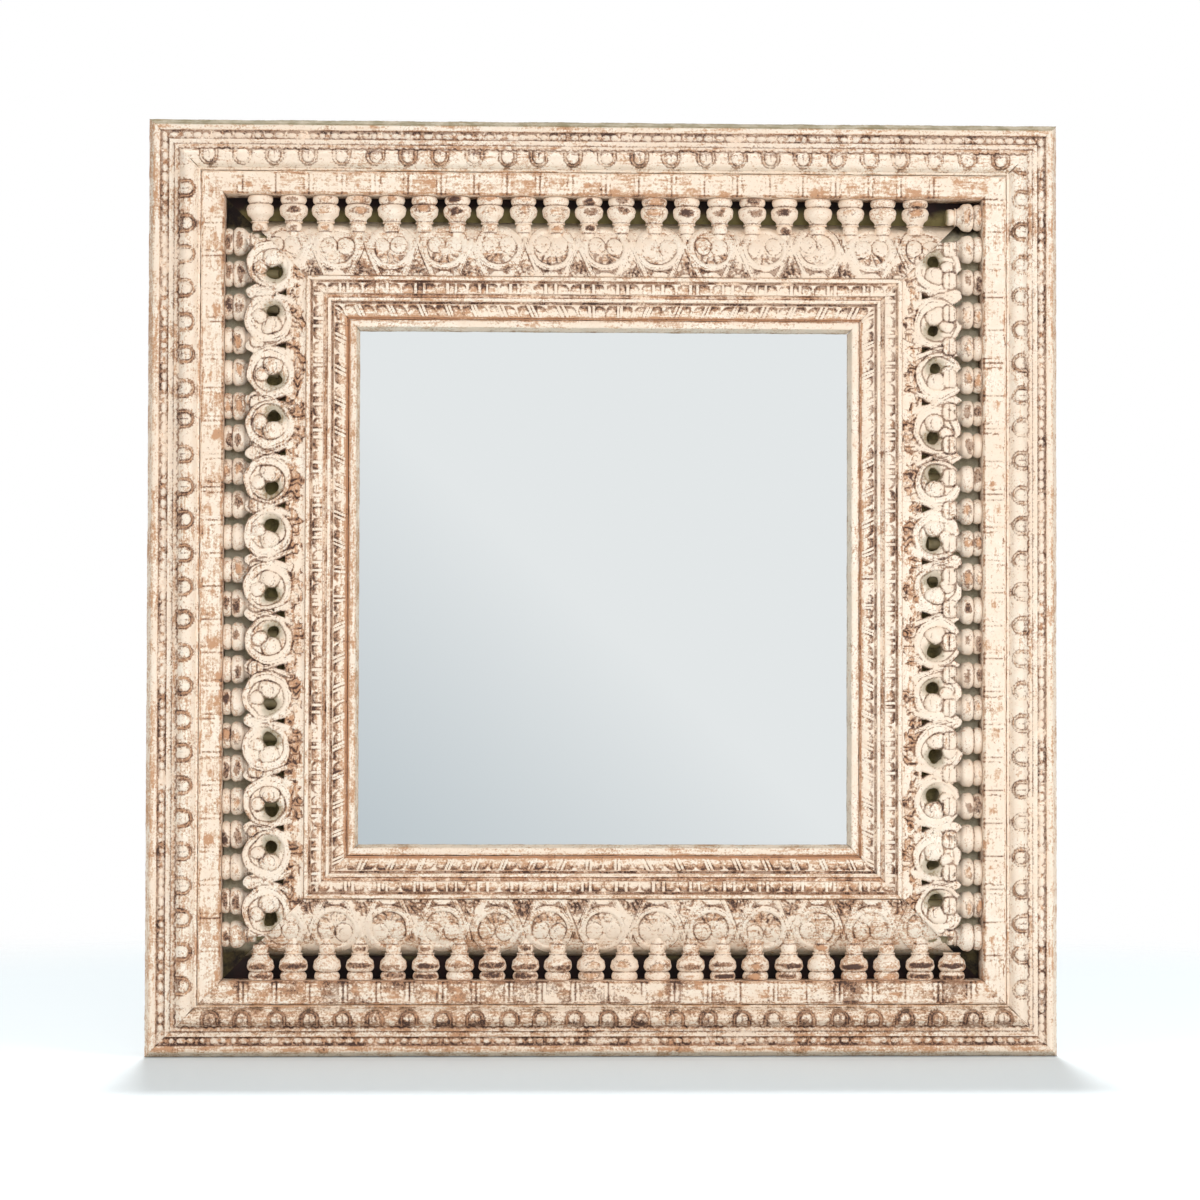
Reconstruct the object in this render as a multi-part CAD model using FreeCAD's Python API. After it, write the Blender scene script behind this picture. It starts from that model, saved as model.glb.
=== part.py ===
import FreeCAD, Part
import math
import os

V = FreeCAD.Vector
os.makedirs("parts", exist_ok=True)

# A carved wooden wall mirror. Millimetres, +Z up, the front faces -Y.
# The wall is the plane Y = 0, and the origin is the middle of the frame on it.
# "Across" is measured inwards from the frame's outer edge, "depth" outwards from the wall,
# and "along" from the middle of a side. Every side is made at the top and turned into place.

# Whole frame
frame_width = 914.0
frame_height = 938.0

# Back structure
bumper_thickness = 6.0
bumper_radius = 10.0
bumper_inset = 22.0
back_rail_inset = 4.0
back_rail_width = 66.0
back_rail_thickness = 44.0
inner_rail_setback = 18.0
inner_rail_thickness = 34.0
inner_rail_reveal = 53.0
brace_width = 42.0
brace_from = 42.0
brace_to = 176.0
lap_clearance = 0.2
board_thickness = 6.0
board_lift = 6.0
board_tongue = 6.0

# Bands of the front, from the outer edge inwards
moulding_width = 53.0
moulding_rise = 42.0
block_width = 24.0
block_rise = 34.0
gallery_width = 81.0
inner_moulding_width = 43.0
inner_moulding_rise = 31.0
bead_width = 11.0
bead_rise = 16.0

# Scribed joints between the plinth blocks
block_groove_width = 1.4
block_groove_depth = 3.0

# Turned balusters
baluster_pitch = 33.0
baluster_setback = 18.0
ring_length = 8.0
ring_radius = 13.5
vase_length = 18.5
vase_radius = 13.5
waist_radius = 8.0
torus_length = 9.0
torus_radius = 8.0
neck_radius = 6.0
tenon_radius = 5.0
outer_tenon = 12.0
inner_tenon = 7.0
hooded_neck = 6.0
joint_clearance = 0.2

# Scroll panels
hood_reach = 60.0
hood_arcs = 3
panel_rise = 27.0
lip_reach = 60.0
lip_thickness = 6.0
lip_fall = 1.5
scroll_pitch = 53.5
scroll_count = 13
scroll_radius = 22.5
scroll_rim_width = 5.0
scroll_relief = 2.0
hooded_scroll_across = 127.0
pierced_scroll_across = 122.0
stem_width = 4.0
stem_splay = 16.0
web_width = 15.0
piercing_radius = 15.5

# Mirror
glass_thickness = 4.0
glass_lift = 6.0
glass_clearance = 2.0
backing_thickness = 5.0
backing_clearance = 1.0
strip_size = 8.0

# Screws
screw_radius = 2.0
screw_head_radius = 4.0
screw_head_length = 3.0
pilot_clearance = 0.1
brace_screw_length = 36.0
rail_screw_length = 58.0
inner_screw_length = 48.0
brace_screw_margin = 16.0
brace_screw_spacing = 22.0
rail_screws = 4

# Ring hangers
hanger_along = 250.0
hanger_across = 37.0
ring_wire_radius = 1.5
ring_half_width = 13.0
ring_corner_radius = 3.5
ring_drop = 7.0
strap_thickness = 1.2
strap_width = 16.0
strap_length = 42.0
strap_end_radius = 4.0
pivot_clearance = 0.08
pan_head_radius = 3.6
pan_head_height = 2.0
hanger_screw_radius = 1.9
hanger_screw_length = 20.0
hanger_screws_along = (14.0, 32.0)

overrun = 5.0

# Places worked out from the sizes
block_start = moulding_width
gallery_start = block_start + block_width
panel_end = gallery_start + gallery_width
bead_start = panel_end + inner_moulding_width
sight_line = bead_start + bead_width
rail_back = bumper_thickness
rail_front = rail_back + back_rail_thickness
block_face = rail_front + block_rise
baluster_depth = block_face - baluster_setback
inner_back = rail_back + inner_rail_setback
inner_front = inner_back + inner_rail_thickness
inner_rail_start = gallery_start + inner_rail_reveal
back_rail_end = back_rail_inset + back_rail_width
board_back = inner_back + board_lift
board_front = board_back + board_thickness
panel_front = inner_front + panel_rise
glass_front = inner_front + glass_lift
glass_back = glass_front - glass_thickness
backing_back = glass_back - backing_thickness
frame_depth = rail_front + moulding_rise
vase_end = gallery_start + ring_length + vase_length
torus_end = vase_end + torus_length

# Sections as shares of a band's width and rise: (across, up) or (across, up, bulge of the run to it)
outer_moulding_shares = (
    (0.0, 0.0), (0.0, 0.43), (0.085, 0.62), (0.225, 0.62, 0.16), (0.235, 0.56), (0.375, 0.56),
    (0.385, 0.645), (0.49, 0.645), (0.495, 0.71), (0.58, 0.71), (0.59, 0.74), (0.94, 0.83, 0.43),
    (0.95, 0.76), (1.0, 0.76), (1.0, 0.0))
block_rail_shares = ((0.0, 0.0), (0.0, 0.93), (0.08, 1.0), (0.93, 1.0), (1.0, 0.95), (1.0, 0.0))
inner_moulding_shares = (
    (0.0, 0.0), (0.0, 0.93), (0.025, 1.0), (0.115, 1.0), (0.13, 0.88), (0.16, 0.88), (0.17, 0.955),
    (0.42, 0.915, 0.04), (0.43, 0.78), (0.5, 0.77), (0.51, 0.87), (0.595, 0.86), (0.605, 0.72),
    (0.64, 0.71), (0.65, 0.77), (0.96, 0.71, 0.12), (0.965, 0.6), (1.0, 0.59), (1.0, 0.0))
sight_bead_shares = ((0.0, 0.0), (0.0, 0.86), (0.65, 0.95, 0.13), (0.76, 0.88), (1.0, 0.3), (1.0, 0.0))
plain_shares = ((0.0, 0.0), (0.0, 1.0), (1.0, 1.0), (1.0, 0.0))

# Shares of the vase's length and of its radius: (along, radius, bulge of the run to it)
ring_end_share = 0.88
vase_shares = ((0.0, 0.8), (0.32, 1.0, 0.2), (0.66, 0.83, 0.12), (0.92, 0.6, -0.1), (0.93, 0.66), (1.0, 0.66))
torus_end_share = 0.82


class Side:
    """One side of the frame: where it turns to, and what differs along it."""

    def __init__(self, name, turn, length, depth, count, shift, stops, pierced):
        self.name = name
        self.turn = turn
        self.half = length / 2
        self.span = depth / 2
        self.count = count
        self.shift = shift
        self.stops = stops
        self.pierced = pierced

    def point(self, along, across, depth):
        return V(along, -depth, self.span - across)

    def place(self, shape):
        shape.rotate(V(0, 0, 0), V(0, 1, 0), self.turn)
        return shape

    def stations(self):
        """Places along the side of its balusters, and where each one stops."""
        first = self.shift - (self.count - 1) * baluster_pitch / 2
        stops = [self.stops[0]] + ["full"] * (self.count - 2) + [self.stops[1]]
        return [(first + i * baluster_pitch, stop) for i, stop in enumerate(stops)]

    def scrolls(self):
        first = -(scroll_count - 1) * scroll_pitch / 2
        return [first + i * scroll_pitch for i in range(scroll_count)]


# The rows don't start alike at the four corners, and the end balusters of two rows are cut short
top_row_shift = -16.0
right_row_shift = -12.5
bottom_row_shift = -5.0
left_row_shift = 0.0
sides = (
    Side("top", 0, frame_width, frame_height, 21, top_row_shift, ("torus", "torus"), False),
    Side("right", 90, frame_height, frame_width, 23, right_row_shift, ("torus", "neck"), True),
    Side("bottom", 180, frame_width, frame_height, 22, bottom_row_shift, ("vase", "torus"), False),
    Side("left", 270, frame_height, frame_width, 22, left_row_shift, ("full", "full"), True))


def export(name, shape):
    shape.exportStep("parts/" + name + ".step")


def run_edges(points):
    """Edges through (point, bulge) pairs; a bulge is the arc's height as a share of its chord."""
    edges = []
    for (start, _), (end, bulge) in zip(points, points[1:] + points[:1]):
        if bulge:
            chord = end - start
            middle = (start + end) / 2 + V(0, chord.z, -chord.y) * bulge
            edges.append(Part.Arc(start, middle, end).toShape())
        else:
            edges.append(Part.LineSegment(start, end).toShape())
    return edges


def section(side, start, base, width, rise, shares):
    """Face of a band's section at the left end of a side."""
    points = []
    for across, up, *bulge in shares:
        place = side.point(-side.half, start + across * width, base + up * rise)
        points.append((place, bulge[0] if bulge else 0))
    return Part.Face(Part.Wire(run_edges(points)))


def mitre_wedge(side):
    """Everything between the two mitre planes of a side, as a prism."""
    reach = side.half + overrun
    corners = [side.point(-reach, -overrun, -overrun), side.point(reach, -overrun, -overrun),
               side.point(0, side.half, -overrun)]
    face = Part.Face(Part.makePolygon(corners + corners[:1]))
    return face.extrude(V(0, -(frame_depth + 2 * overrun), 0))


def bar(side, face):
    """A section run along a side and mitred at both ends, still at the top."""
    return face.extrude(V(2 * side.half, 0, 0)).common(mitre_wedge(side))


def prism(side, along, across, half_length, width, low, high):
    """A box on a side: along and across give its middle and its outer edge."""
    corner = side.point(along - half_length, across + width, high)
    return Part.makeBox(2 * half_length, high - low, width, corner)


def post(side, along, across, radius, low, high):
    """A round post standing out from the wall."""
    return Part.makeCylinder(radius, high - low, side.point(along, across, low), V(0, -1, 0))


def cut_all(shape, tools):
    """Cuts only the tools whose boxes reach the shape."""
    near = [tool for tool in tools if tool.BoundBox.intersect(shape.BoundBox)]
    return shape.cut(near) if near else shape


def screw(point, direction, length, grow=0):
    """A countersunk screw, its head's face at the point; grow makes its hole."""
    head = Part.makeCone(screw_head_radius + grow, screw_radius + grow, screw_head_length, point, direction)
    shank = Part.makeCylinder(screw_radius + grow, length + grow, point, direction)
    return head.fuse(shank).removeSplitter()


def baluster_outline(side, stop):
    """Half outline of a turned baluster: (across, radius, bulge) from its outer tenon inwards."""
    start = gallery_start
    points = [(start - outer_tenon, tenon_radius, 0), (start, tenon_radius, 0),
              (start, ring_radius * ring_end_share, 0),
              (start + ring_length, ring_radius * ring_end_share, 0.2)]
    for along, radius, *bulge in vase_shares:
        across = start + ring_length + along * vase_length
        points.append((across, vase_radius * radius, bulge[0] if bulge else 0))
    if stop != "vase":
        points.append((vase_end, torus_radius * torus_end_share, 0))
        points.append((torus_end, torus_radius * torus_end_share, 0.17))
    if stop in ("neck", "full"):
        neck_end = side_neck_end(side)
        points.append((torus_end, neck_radius, 0))
        points.append((neck_end, neck_radius, 0))
    if stop == "full":
        points.append((neck_end, tenon_radius, 0))
        points.append((neck_end + inner_tenon, tenon_radius, 0))
    return points


def side_neck_end(side):
    """Where a baluster's neck meets its inner shoulder."""
    return inner_rail_start if side.pierced else torus_end + hooded_neck


def turned(outline):
    """A solid of revolution about a vertical axis, from (across, radius, bulge) points."""
    points = [(V(0, -radius, -across), bulge) for across, radius, bulge in outline]
    ends = [(V(0, 0, -outline[-1][0]), 0), (V(0, 0, -outline[0][0]), 0)]
    face = Part.Face(Part.Wire(run_edges(points + ends)))
    return face.revolve(V(0, 0, 0), V(0, 0, 1), 360)


def stand(side, shape, along):
    """Puts a turned piece on its station of a side."""
    shape = shape.copy()
    shape.translate(V(along, -baluster_depth, side.span))
    return side.place(shape)


def balusters(side):
    masters = {stop: turned(baluster_outline(side, stop)) for stop in ("full",) + side.stops}
    return [stand(side, masters[stop], along) for along, stop in side.stations()]


def panel_sockets(side):
    """What a row of balusters needs cut out of the panels: a notch and a blind hole each."""
    sockets = []
    for along, stop in side.stations():
        if stop == "vase":
            continue
        notch = torus_radius + joint_clearance
        outline = [(vase_end - inner_tenon, notch, 0), (torus_end + joint_clearance, notch, 0)]
        if stop in ("neck", "full"):
            neck_end = side_neck_end(side)
            neck = neck_radius + joint_clearance
            outline += [(torus_end + joint_clearance, neck, 0), (neck_end, neck, 0)]
        if stop == "full":
            tenon = tenon_radius + joint_clearance
            outline += [(neck_end, tenon, 0), (neck_end + inner_tenon + joint_clearance, tenon, 0)]
        sockets.append(stand(side, turned(outline), along))
    return sockets


def outer_moulding(side):
    face = section(side, 0, rail_front, moulding_width, moulding_rise, outer_moulding_shares)
    return side.place(bar(side, face))


def block_rail(side):
    """Rail of square plinth blocks, parted by scribed grooves, with a socket for each baluster."""
    face = section(side, block_start, rail_front, block_width, block_rise, block_rail_shares)
    rail = bar(side, face)
    cuts = []
    depth = outer_tenon + joint_clearance
    for along, _ in side.stations():
        mouth = side.point(along, gallery_start, baluster_depth)
        cuts.append(Part.makeCylinder(tenon_radius + joint_clearance, depth, mouth, V(0, 0, 1)))
        cuts.append(block_groove(side, along - baluster_pitch / 2))
    cuts.append(block_groove(side, along + baluster_pitch / 2))
    return side.place(rail.cut(cuts))


def block_groove(side, along):
    low = block_face - block_groove_depth
    return prism(side, along, block_start - overrun, block_groove_width / 2, block_width + 2 * overrun,
                 low, block_face + overrun)


def hood_section(side, grow):
    """Section of a solid scroll panel: a quarter oval on the gallery board that laps over the inner rail."""
    low = board_front
    oval = []
    for i in range(2 * hood_arcs + 1):
        angle = math.pi / 4 * i / hood_arcs
        across = panel_end - (hood_reach + grow) * math.cos(angle)
        oval.append(side.point(-side.half, across, low + (panel_front + grow - low) * math.sin(angle)))
    arcs = [Part.Arc(*oval[i:i + 3]).toShape() for i in range(0, 2 * hood_arcs, 2)]
    rest = [oval[-1], side.point(-side.half, panel_end, inner_front),
            side.point(-side.half, inner_rail_start, inner_front), side.point(-side.half, inner_rail_start, low),
            oval[0]]
    return Part.Face(Part.Wire(arcs + Part.makePolygon(rest).Edges))


def scroll_rims(side, across, low, high):
    """Ring rims and the crossed stems between them, as prisms."""
    shapes = []
    for along in side.scrolls():
        rim = post(side, along, across, scroll_radius, low, high)
        shapes.append(rim.cut(post(side, along, across, scroll_radius - scroll_rim_width, low, high)))
    run = panel_end - across
    for along in side.scrolls()[:-1]:
        middle = along + scroll_pitch / 2
        for lean in (-1, 1):
            angle = math.degrees(math.atan2(lean * stem_splay, run))
            stem = prism(side, middle, across, stem_width / 2, math.hypot(run, stem_splay), low, high)
            stem.rotate(side.point(middle, across, low), V(0, 1, 0), angle)
            shapes.append(stem)
    return shapes


def solid_panel(side):
    """Top and bottom panel: a solid hood with the rims of its scrolls standing proud."""
    hood = bar(side, hood_section(side, 0))
    raised = bar(side, hood_section(side, scroll_relief))
    rims = scroll_rims(side, hooded_scroll_across, inner_front, panel_front + overrun)
    return hood.fuse(raised.common(rims[0].fuse(rims[1:])))


def pierced_panel(side):
    """Side panel: a body on the inner rail and a fretted lip that reaches over the balusters."""
    across = pierced_scroll_across
    lip_start = panel_end - lip_reach
    lip_front = panel_front - lip_fall
    lip_back = lip_front - lip_thickness
    corners = [side.point(-side.half, *place) for place in (
        (lip_start, lip_back), (lip_start, lip_front), (panel_end, panel_front), (panel_end, inner_front),
        (inner_rail_start, inner_front), (inner_rail_start, lip_back))]
    solid = bar(side, Part.Face(Part.makePolygon(corners + corners[:1])))
    high = panel_front + overrun
    keep = [prism(side, 0, inner_rail_start, side.half, panel_end - inner_rail_start, 0, high)]
    holes = []
    for along in side.scrolls():
        keep.append(post(side, along, across, scroll_radius, 0, high))
        keep.append(prism(side, along + scroll_pitch / 2, across - stem_width, web_width / 2,
                          inner_rail_start - across + stem_width, 0, high))
        hole = post(side, along, across, piercing_radius, lip_back - overrun, high)
        holes.append(hole.cut(prism(side, along, inner_rail_start, scroll_radius, scroll_radius,
                                    lip_back - overrun, high)))
    solid = solid.common(keep[0].fuse(keep[1:]))
    rims = scroll_rims(side, across, lip_back + scroll_relief, panel_front + scroll_relief)
    wedge = mitre_wedge(side)
    inside = prism(side, 0, lip_start - overrun, side.half, lip_reach + overrun, 0, high)
    relief = rims[0].fuse(rims[1:]).common(wedge).common(inside)
    return solid.fuse(relief).cut(holes)


def scroll_panel(side, sockets):
    """A panel with its sockets; a chip of relief that they cut free is left out."""
    panel = pierced_panel(side) if side.pierced else solid_panel(side)
    cut = cut_all(side.place(panel), sockets)
    return max(cut.Solids, key=lambda solid: solid.Volume)


def flat_sheet(start, back, thickness):
    """A sheet that fills the opening inside a distance from the outer edge."""
    width = frame_width - 2 * start
    height = frame_height - 2 * start
    return Part.makeBox(width, thickness, height, V(-width / 2, -(back + thickness), -height / 2))


def plain_bar(side, start, back, width, thickness):
    return side.place(bar(side, section(side, start, back, width, thickness, plain_shares)))


def gallery_board(side, grow):
    """The board behind the balusters, its edges let into the back rail and the inner rail."""
    start = back_rail_end - board_tongue - grow
    width = inner_rail_start + board_tongue + grow - start
    return plain_bar(side, start, board_back - grow, width, board_thickness + 2 * grow)


def corner_signs():
    return {"top_left": (-1, 1), "top_right": (1, 1), "bottom_left": (-1, -1), "bottom_right": (1, -1)}


def corner_turn(shape, signs):
    """Turns what runs along +X onto a corner's diagonal, from the outer corner inwards."""
    shape.rotate(V(0, 0, 0), V(0, 1, 0), math.degrees(math.atan2(signs[1], -signs[0])))
    shape.translate(V(signs[0] * frame_width / 2, 0, signs[1] * frame_height / 2))
    return shape


def corner_brace(signs, grow):
    """A diagonal board, let into the back rails and lapped under the inner rails."""
    start = brace_from * math.sqrt(2) - grow
    length = (brace_to - brace_from) * math.sqrt(2) + 2 * grow
    board = Part.makeBox(length, inner_rail_setback, brace_width + 2 * grow,
                         V(start, -inner_back, -brace_width / 2 - grow))
    return corner_turn(board, signs)


def brace_screws(signs, grow):
    start = brace_from * math.sqrt(2)
    end = brace_to * math.sqrt(2)
    found = []
    for along in (start + brace_screw_margin, end - brace_screw_margin):
        for lift in (-1, 1):
            point = V(along, -rail_back, lift * brace_screw_spacing / 2)
            found.append(corner_turn(screw(point, V(0, -1, 0), brace_screw_length, grow), signs))
    return found


def row_of_screws(side, across, back, length, grow):
    """Evenly spaced screws driven forwards along a side."""
    found = []
    reach = side.half - across
    for i in range(rail_screws):
        along = reach * (2 * (i + 1) / (rail_screws + 1) - 1)
        found.append(side.place(screw(side.point(along, across, back), V(0, -1, 0), length, grow)))
    return found


def rail_screw_set(grow):
    """Screws from the back rails into the outer moulding and the block rails."""
    found = []
    for side in sides:
        for across in (moulding_width / 2, block_start + block_width / 4):
            found += row_of_screws(side, across, rail_back, rail_screw_length, grow)
    return found


def inner_screw_set(grow):
    """Screws from the inner rails into the scroll panels and the inner moulding."""
    found = []
    for side in sides:
        panel_middle = (inner_rail_start + panel_end) / 2
        moulding_middle = (panel_end + bead_start) / 2
        for across in (panel_middle, moulding_middle):
            found += row_of_screws(side, across, inner_back, inner_screw_length, grow)
    return found


def hanger_place(sign):
    """Axis of a hanger's ring: the middle of its pivot."""
    loop_radius = ring_wire_radius + pivot_clearance + strap_thickness
    return V(sign * (frame_width / 2 - hanger_across), -(rail_back - loop_radius), hanger_along)


def hanger_plate(sign):
    """A strap screwed to the back rail, rolled into a loop round the ring's bar."""
    axis = hanger_place(sign)
    bore = ring_wire_radius + pivot_clearance
    left = axis - V(strap_width / 2, 0, 0)
    loop = Part.makeCylinder(bore + strap_thickness, strap_width, left, V(1, 0, 0))
    strap = Part.makeBox(strap_width, strap_thickness, strap_length,
                         V(left.x, -rail_back, axis.z))
    tips = [edge for edge in strap.Edges if edge.BoundBox.YLength > edge.BoundBox.ZLength
            and edge.BoundBox.XLength < edge.BoundBox.YLength and edge.BoundBox.ZMin > axis.z]
    strap = strap.makeFillet(strap_end_radius, tips)
    plate = loop.fuse(strap).cut(Part.makeCylinder(bore, strap_width, left, V(1, 0, 0)))
    return plate.removeSplitter().cut(hanger_screws(sign, pilot_clearance))


def hanger_screws(sign, grow):
    """Pan-head screws through a strap, their heads towards the wall."""
    axis = hanger_place(sign)
    found = []
    for lift in hanger_screws_along:
        seat = V(axis.x, -(rail_back - strap_thickness), axis.z + lift)
        shank = Part.makeCylinder(hanger_screw_radius + grow, hanger_screw_length + grow, seat, V(0, -1, 0))
        if grow:
            found.append(shank)
            continue
        head = Part.makeCylinder(pan_head_radius, pan_head_height, seat, V(0, 1, 0))
        rim = [edge for edge in head.Edges if edge.BoundBox.YMin > seat.y and edge.isClosed()]
        found.append(head.makeFillet(pan_head_height / 2, rim[:1]).fuse(shank).removeSplitter())
    return found


def hanger_ring(sign):
    """A D of round wire: its straight bar lies in the strap's loop, and the bow hangs down."""
    axis = hanger_place(sign)
    wire = ring_wire_radius
    bend = ring_corner_radius
    half = ring_half_width
    bar_half = half - bend
    pieces = [Part.makeCylinder(wire, 2 * bar_half, V(-bar_half, 0, 0), V(1, 0, 0))]
    for turn in (-1, 1):
        pieces.append(bent_wire(V(turn * bar_half, 0, -bend), bend, V(turn, 0, 0), V(0, 0, 1)))
        pieces.append(Part.makeCylinder(wire, ring_drop - bend, V(turn * half, 0, -ring_drop), V(0, 0, 1)))
        pieces.append(bent_wire(V(0, 0, -ring_drop), half, V(turn, 0, 0), V(0, 0, -1)))
    ring = pieces[0].fuse(pieces[1:]).removeSplitter()
    ring.translate(axis)
    return ring


def bent_wire(centre, radius, first, second):
    """A quarter turn of the ring's wire, from one direction to the other."""
    start = centre + first * radius
    normal = first.cross(second)
    circle = Part.Circle(start, second, ring_wire_radius)
    face = Part.Face(Part.Wire(circle.toShape()))
    return face.revolve(centre, normal, 90)


def wall_bumpers():
    """A soft disc behind each corner, that keeps the frame off the wall."""
    found = []
    for sign_x, sign_z in corner_signs().values():
        point = V(sign_x * (frame_width / 2 - bumper_inset), 0, sign_z * (frame_height / 2 - bumper_inset))
        found.append(Part.makeCylinder(bumper_radius, bumper_thickness, point, V(0, -1, 0)))
    return Part.makeCompound(found)


def build_sides():
    sockets = [socket for side in sides for socket in panel_sockets(side)]
    rail_holes = rail_screw_set(pilot_clearance)
    inner_holes = inner_screw_set(pilot_clearance)
    corners = list(corner_signs().values())
    brace_cuts = [corner_brace(signs, lap_clearance) for signs in corners]
    brace_cuts += [hole for signs in corners for hole in brace_screws(signs, pilot_clearance)]
    hanger_holes = hanger_screws(-1, pilot_clearance) + hanger_screws(1, pilot_clearance)
    for side in sides:
        export("outer_moulding_" + side.name, cut_all(outer_moulding(side), rail_holes))
        export("block_rail_" + side.name, cut_all(block_rail(side), rail_holes))
        export("balusters_" + side.name, Part.makeCompound(balusters(side)))
        export("scroll_panel_" + side.name, cut_all(scroll_panel(side, sockets), inner_holes))
        face = section(side, panel_end, inner_front, inner_moulding_width, inner_moulding_rise,
                       inner_moulding_shares)
        export("inner_moulding_" + side.name, cut_all(side.place(bar(side, face)), inner_holes))
        face = section(side, bead_start, glass_front, bead_width, bead_rise, sight_bead_shares)
        export("sight_bead_" + side.name, side.place(bar(side, face)))
        export("gallery_board_" + side.name, gallery_board(side, 0))
        cuts = brace_cuts + [gallery_board(side, lap_clearance)]
        back_rail = plain_bar(side, back_rail_inset, rail_back, back_rail_width, back_rail_thickness)
        export("back_rail_" + side.name, cut_all(back_rail, rail_holes + hanger_holes + cuts))
        inner_rail = plain_bar(side, inner_rail_start, inner_back, bead_start - inner_rail_start,
                               inner_rail_thickness)
        export("inner_rail_" + side.name, cut_all(inner_rail, inner_holes + cuts))
        export("glazing_strip_" + side.name, plain_bar(side, bead_start, backing_back - strip_size,
                                                       strip_size, strip_size))


def build_rest():
    export("mirror_glass", flat_sheet(bead_start + glass_clearance, glass_back, glass_thickness))
    export("backing_board", flat_sheet(bead_start + backing_clearance, backing_back, backing_thickness))
    screws = []
    for name, signs in corner_signs().items():
        holes = brace_screws(signs, pilot_clearance)
        export("corner_brace_" + name, corner_brace(signs, 0).cut(holes))
        screws += brace_screws(signs, 0)
    export("brace_screws", Part.makeCompound(screws))
    export("back_rail_screws", Part.makeCompound(rail_screw_set(0)))
    export("inner_rail_screws", Part.makeCompound(inner_screw_set(0)))
    for name, sign in (("left", -1), ("right", 1)):
        export("hanger_plate_" + name, hanger_plate(sign))
        export("hanger_ring_" + name, hanger_ring(sign))
    export("hanger_screws", Part.makeCompound(hanger_screws(-1, 0) + hanger_screws(1, 0)))
    export("wall_bumpers", wall_bumpers())


build_sides()
build_rest()
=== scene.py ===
import math

import bmesh
import bpy
import numpy as np
from mathutils import Matrix, Vector


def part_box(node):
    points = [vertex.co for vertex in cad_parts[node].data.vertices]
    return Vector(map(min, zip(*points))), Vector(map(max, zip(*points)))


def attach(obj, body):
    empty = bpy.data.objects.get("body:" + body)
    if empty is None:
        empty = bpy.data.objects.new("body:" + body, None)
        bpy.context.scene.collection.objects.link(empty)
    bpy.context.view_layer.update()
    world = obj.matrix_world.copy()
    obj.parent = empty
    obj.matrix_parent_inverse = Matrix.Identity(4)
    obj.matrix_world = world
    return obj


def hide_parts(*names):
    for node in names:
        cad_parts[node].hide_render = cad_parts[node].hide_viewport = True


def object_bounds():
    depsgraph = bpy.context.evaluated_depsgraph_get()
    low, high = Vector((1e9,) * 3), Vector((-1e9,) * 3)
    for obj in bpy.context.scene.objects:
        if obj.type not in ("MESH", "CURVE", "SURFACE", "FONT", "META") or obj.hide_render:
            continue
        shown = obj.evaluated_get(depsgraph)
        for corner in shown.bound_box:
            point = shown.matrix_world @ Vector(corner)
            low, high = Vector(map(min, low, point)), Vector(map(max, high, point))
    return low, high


bl_info = {
    "name": "Carved Wall Mirror",
    "version": (1, 0, 0),
    "blender": (4, 5, 0),
    "location": "View3D > Sidebar > Wall Mirror",
    "description": "Carves, turns and paints the pieces of a wooden wall mirror",
    "category": "Object",
}

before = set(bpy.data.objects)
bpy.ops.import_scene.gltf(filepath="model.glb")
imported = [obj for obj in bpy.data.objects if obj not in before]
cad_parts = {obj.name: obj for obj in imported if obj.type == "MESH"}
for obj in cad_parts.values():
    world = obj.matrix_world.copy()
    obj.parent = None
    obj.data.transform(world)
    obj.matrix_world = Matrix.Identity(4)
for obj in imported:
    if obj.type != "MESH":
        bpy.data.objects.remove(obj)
cad_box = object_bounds()

MM = 0.001

# How all carved lengths are made: where columns start to fan out to the mitre, where carving fades at it,
# over what reach hollows are felt, and how deep a carved line is
MITRE_MARGIN = 4 * MM
MITRE_FADE = 2.5 * MM
FINE_BLUR = 1.5 * MM
WIDE_BLUR = 4.0 * MM
CARVED_STEP = 0.6 * MM
WELD = 0.001 * MM
CREASE_ANGLE = math.radians(40)

# Cells of the unevenness of everything carved by hand, and how far all of it lies below the CAD surface
SLOW_CELL = 18 * MM
RAGGED_CELL = 5 * MM
QUICK_CELL = 2.3 * MM
CARVED_BELOW = 0.45 * MM

# "Across" runs inwards from the frame's outer edge, "depth" outwards from the wall, and "along" from
# the middle of a side. Every side is made as the top one and turned into place about the Y axis.

# Sections as shares of a band's width and rise: (across, up) or (across, up, bulge of the run to it)
EDGE_SECTION = (
    (0.0, 0.0), (0.0, 0.43), (0.085, 0.62), (0.225, 0.62, 0.16), (0.235, 0.56), (0.375, 0.56),
    (0.385, 0.645), (0.49, 0.645), (0.495, 0.71), (0.58, 0.71), (0.59, 0.74), (0.94, 0.83, 0.43),
    (0.95, 0.76), (1.0, 0.76), (1.0, 0.0))
BLOCK_SECTION = ((0.0, 0.0), (0.0, 0.93), (0.08, 1.0), (0.9, 1.0), (1.0, 0.88, 0.1), (1.0, 0.0))
INNER_SECTION = (
    (0.0, 0.0), (0.0, 0.93), (0.025, 1.0), (0.115, 1.0), (0.13, 0.88), (0.16, 0.88), (0.17, 0.955),
    (0.42, 0.915, 0.04), (0.43, 0.78), (0.5, 0.77), (0.51, 0.87), (0.595, 0.86), (0.605, 0.72),
    (0.64, 0.71), (0.65, 0.77), (0.96, 0.71, 0.12), (0.965, 0.6), (1.0, 0.59), (1.0, 0.0))
BEAD_SECTION = ((0.0, 0.0), (0.0, 0.86), (0.65, 0.95, 0.13), (0.76, 0.88), (1.0, 0.3), (1.0, 0.0))

# A baluster's vase as shares of its length and radius, bowed the same way
VASE_SECTION = (
    (0.0, 0.74), (0.4, 1.0, 0.24), (0.68, 0.82, 0.14), (0.92, 0.6, -0.1), (0.93, 0.66), (1.0, 0.66))


def length(name, description, millimetres):
    return bpy.props.FloatProperty(name=name, description=description, default=millimetres * MM,
                                   unit="LENGTH", precision=4)


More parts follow.
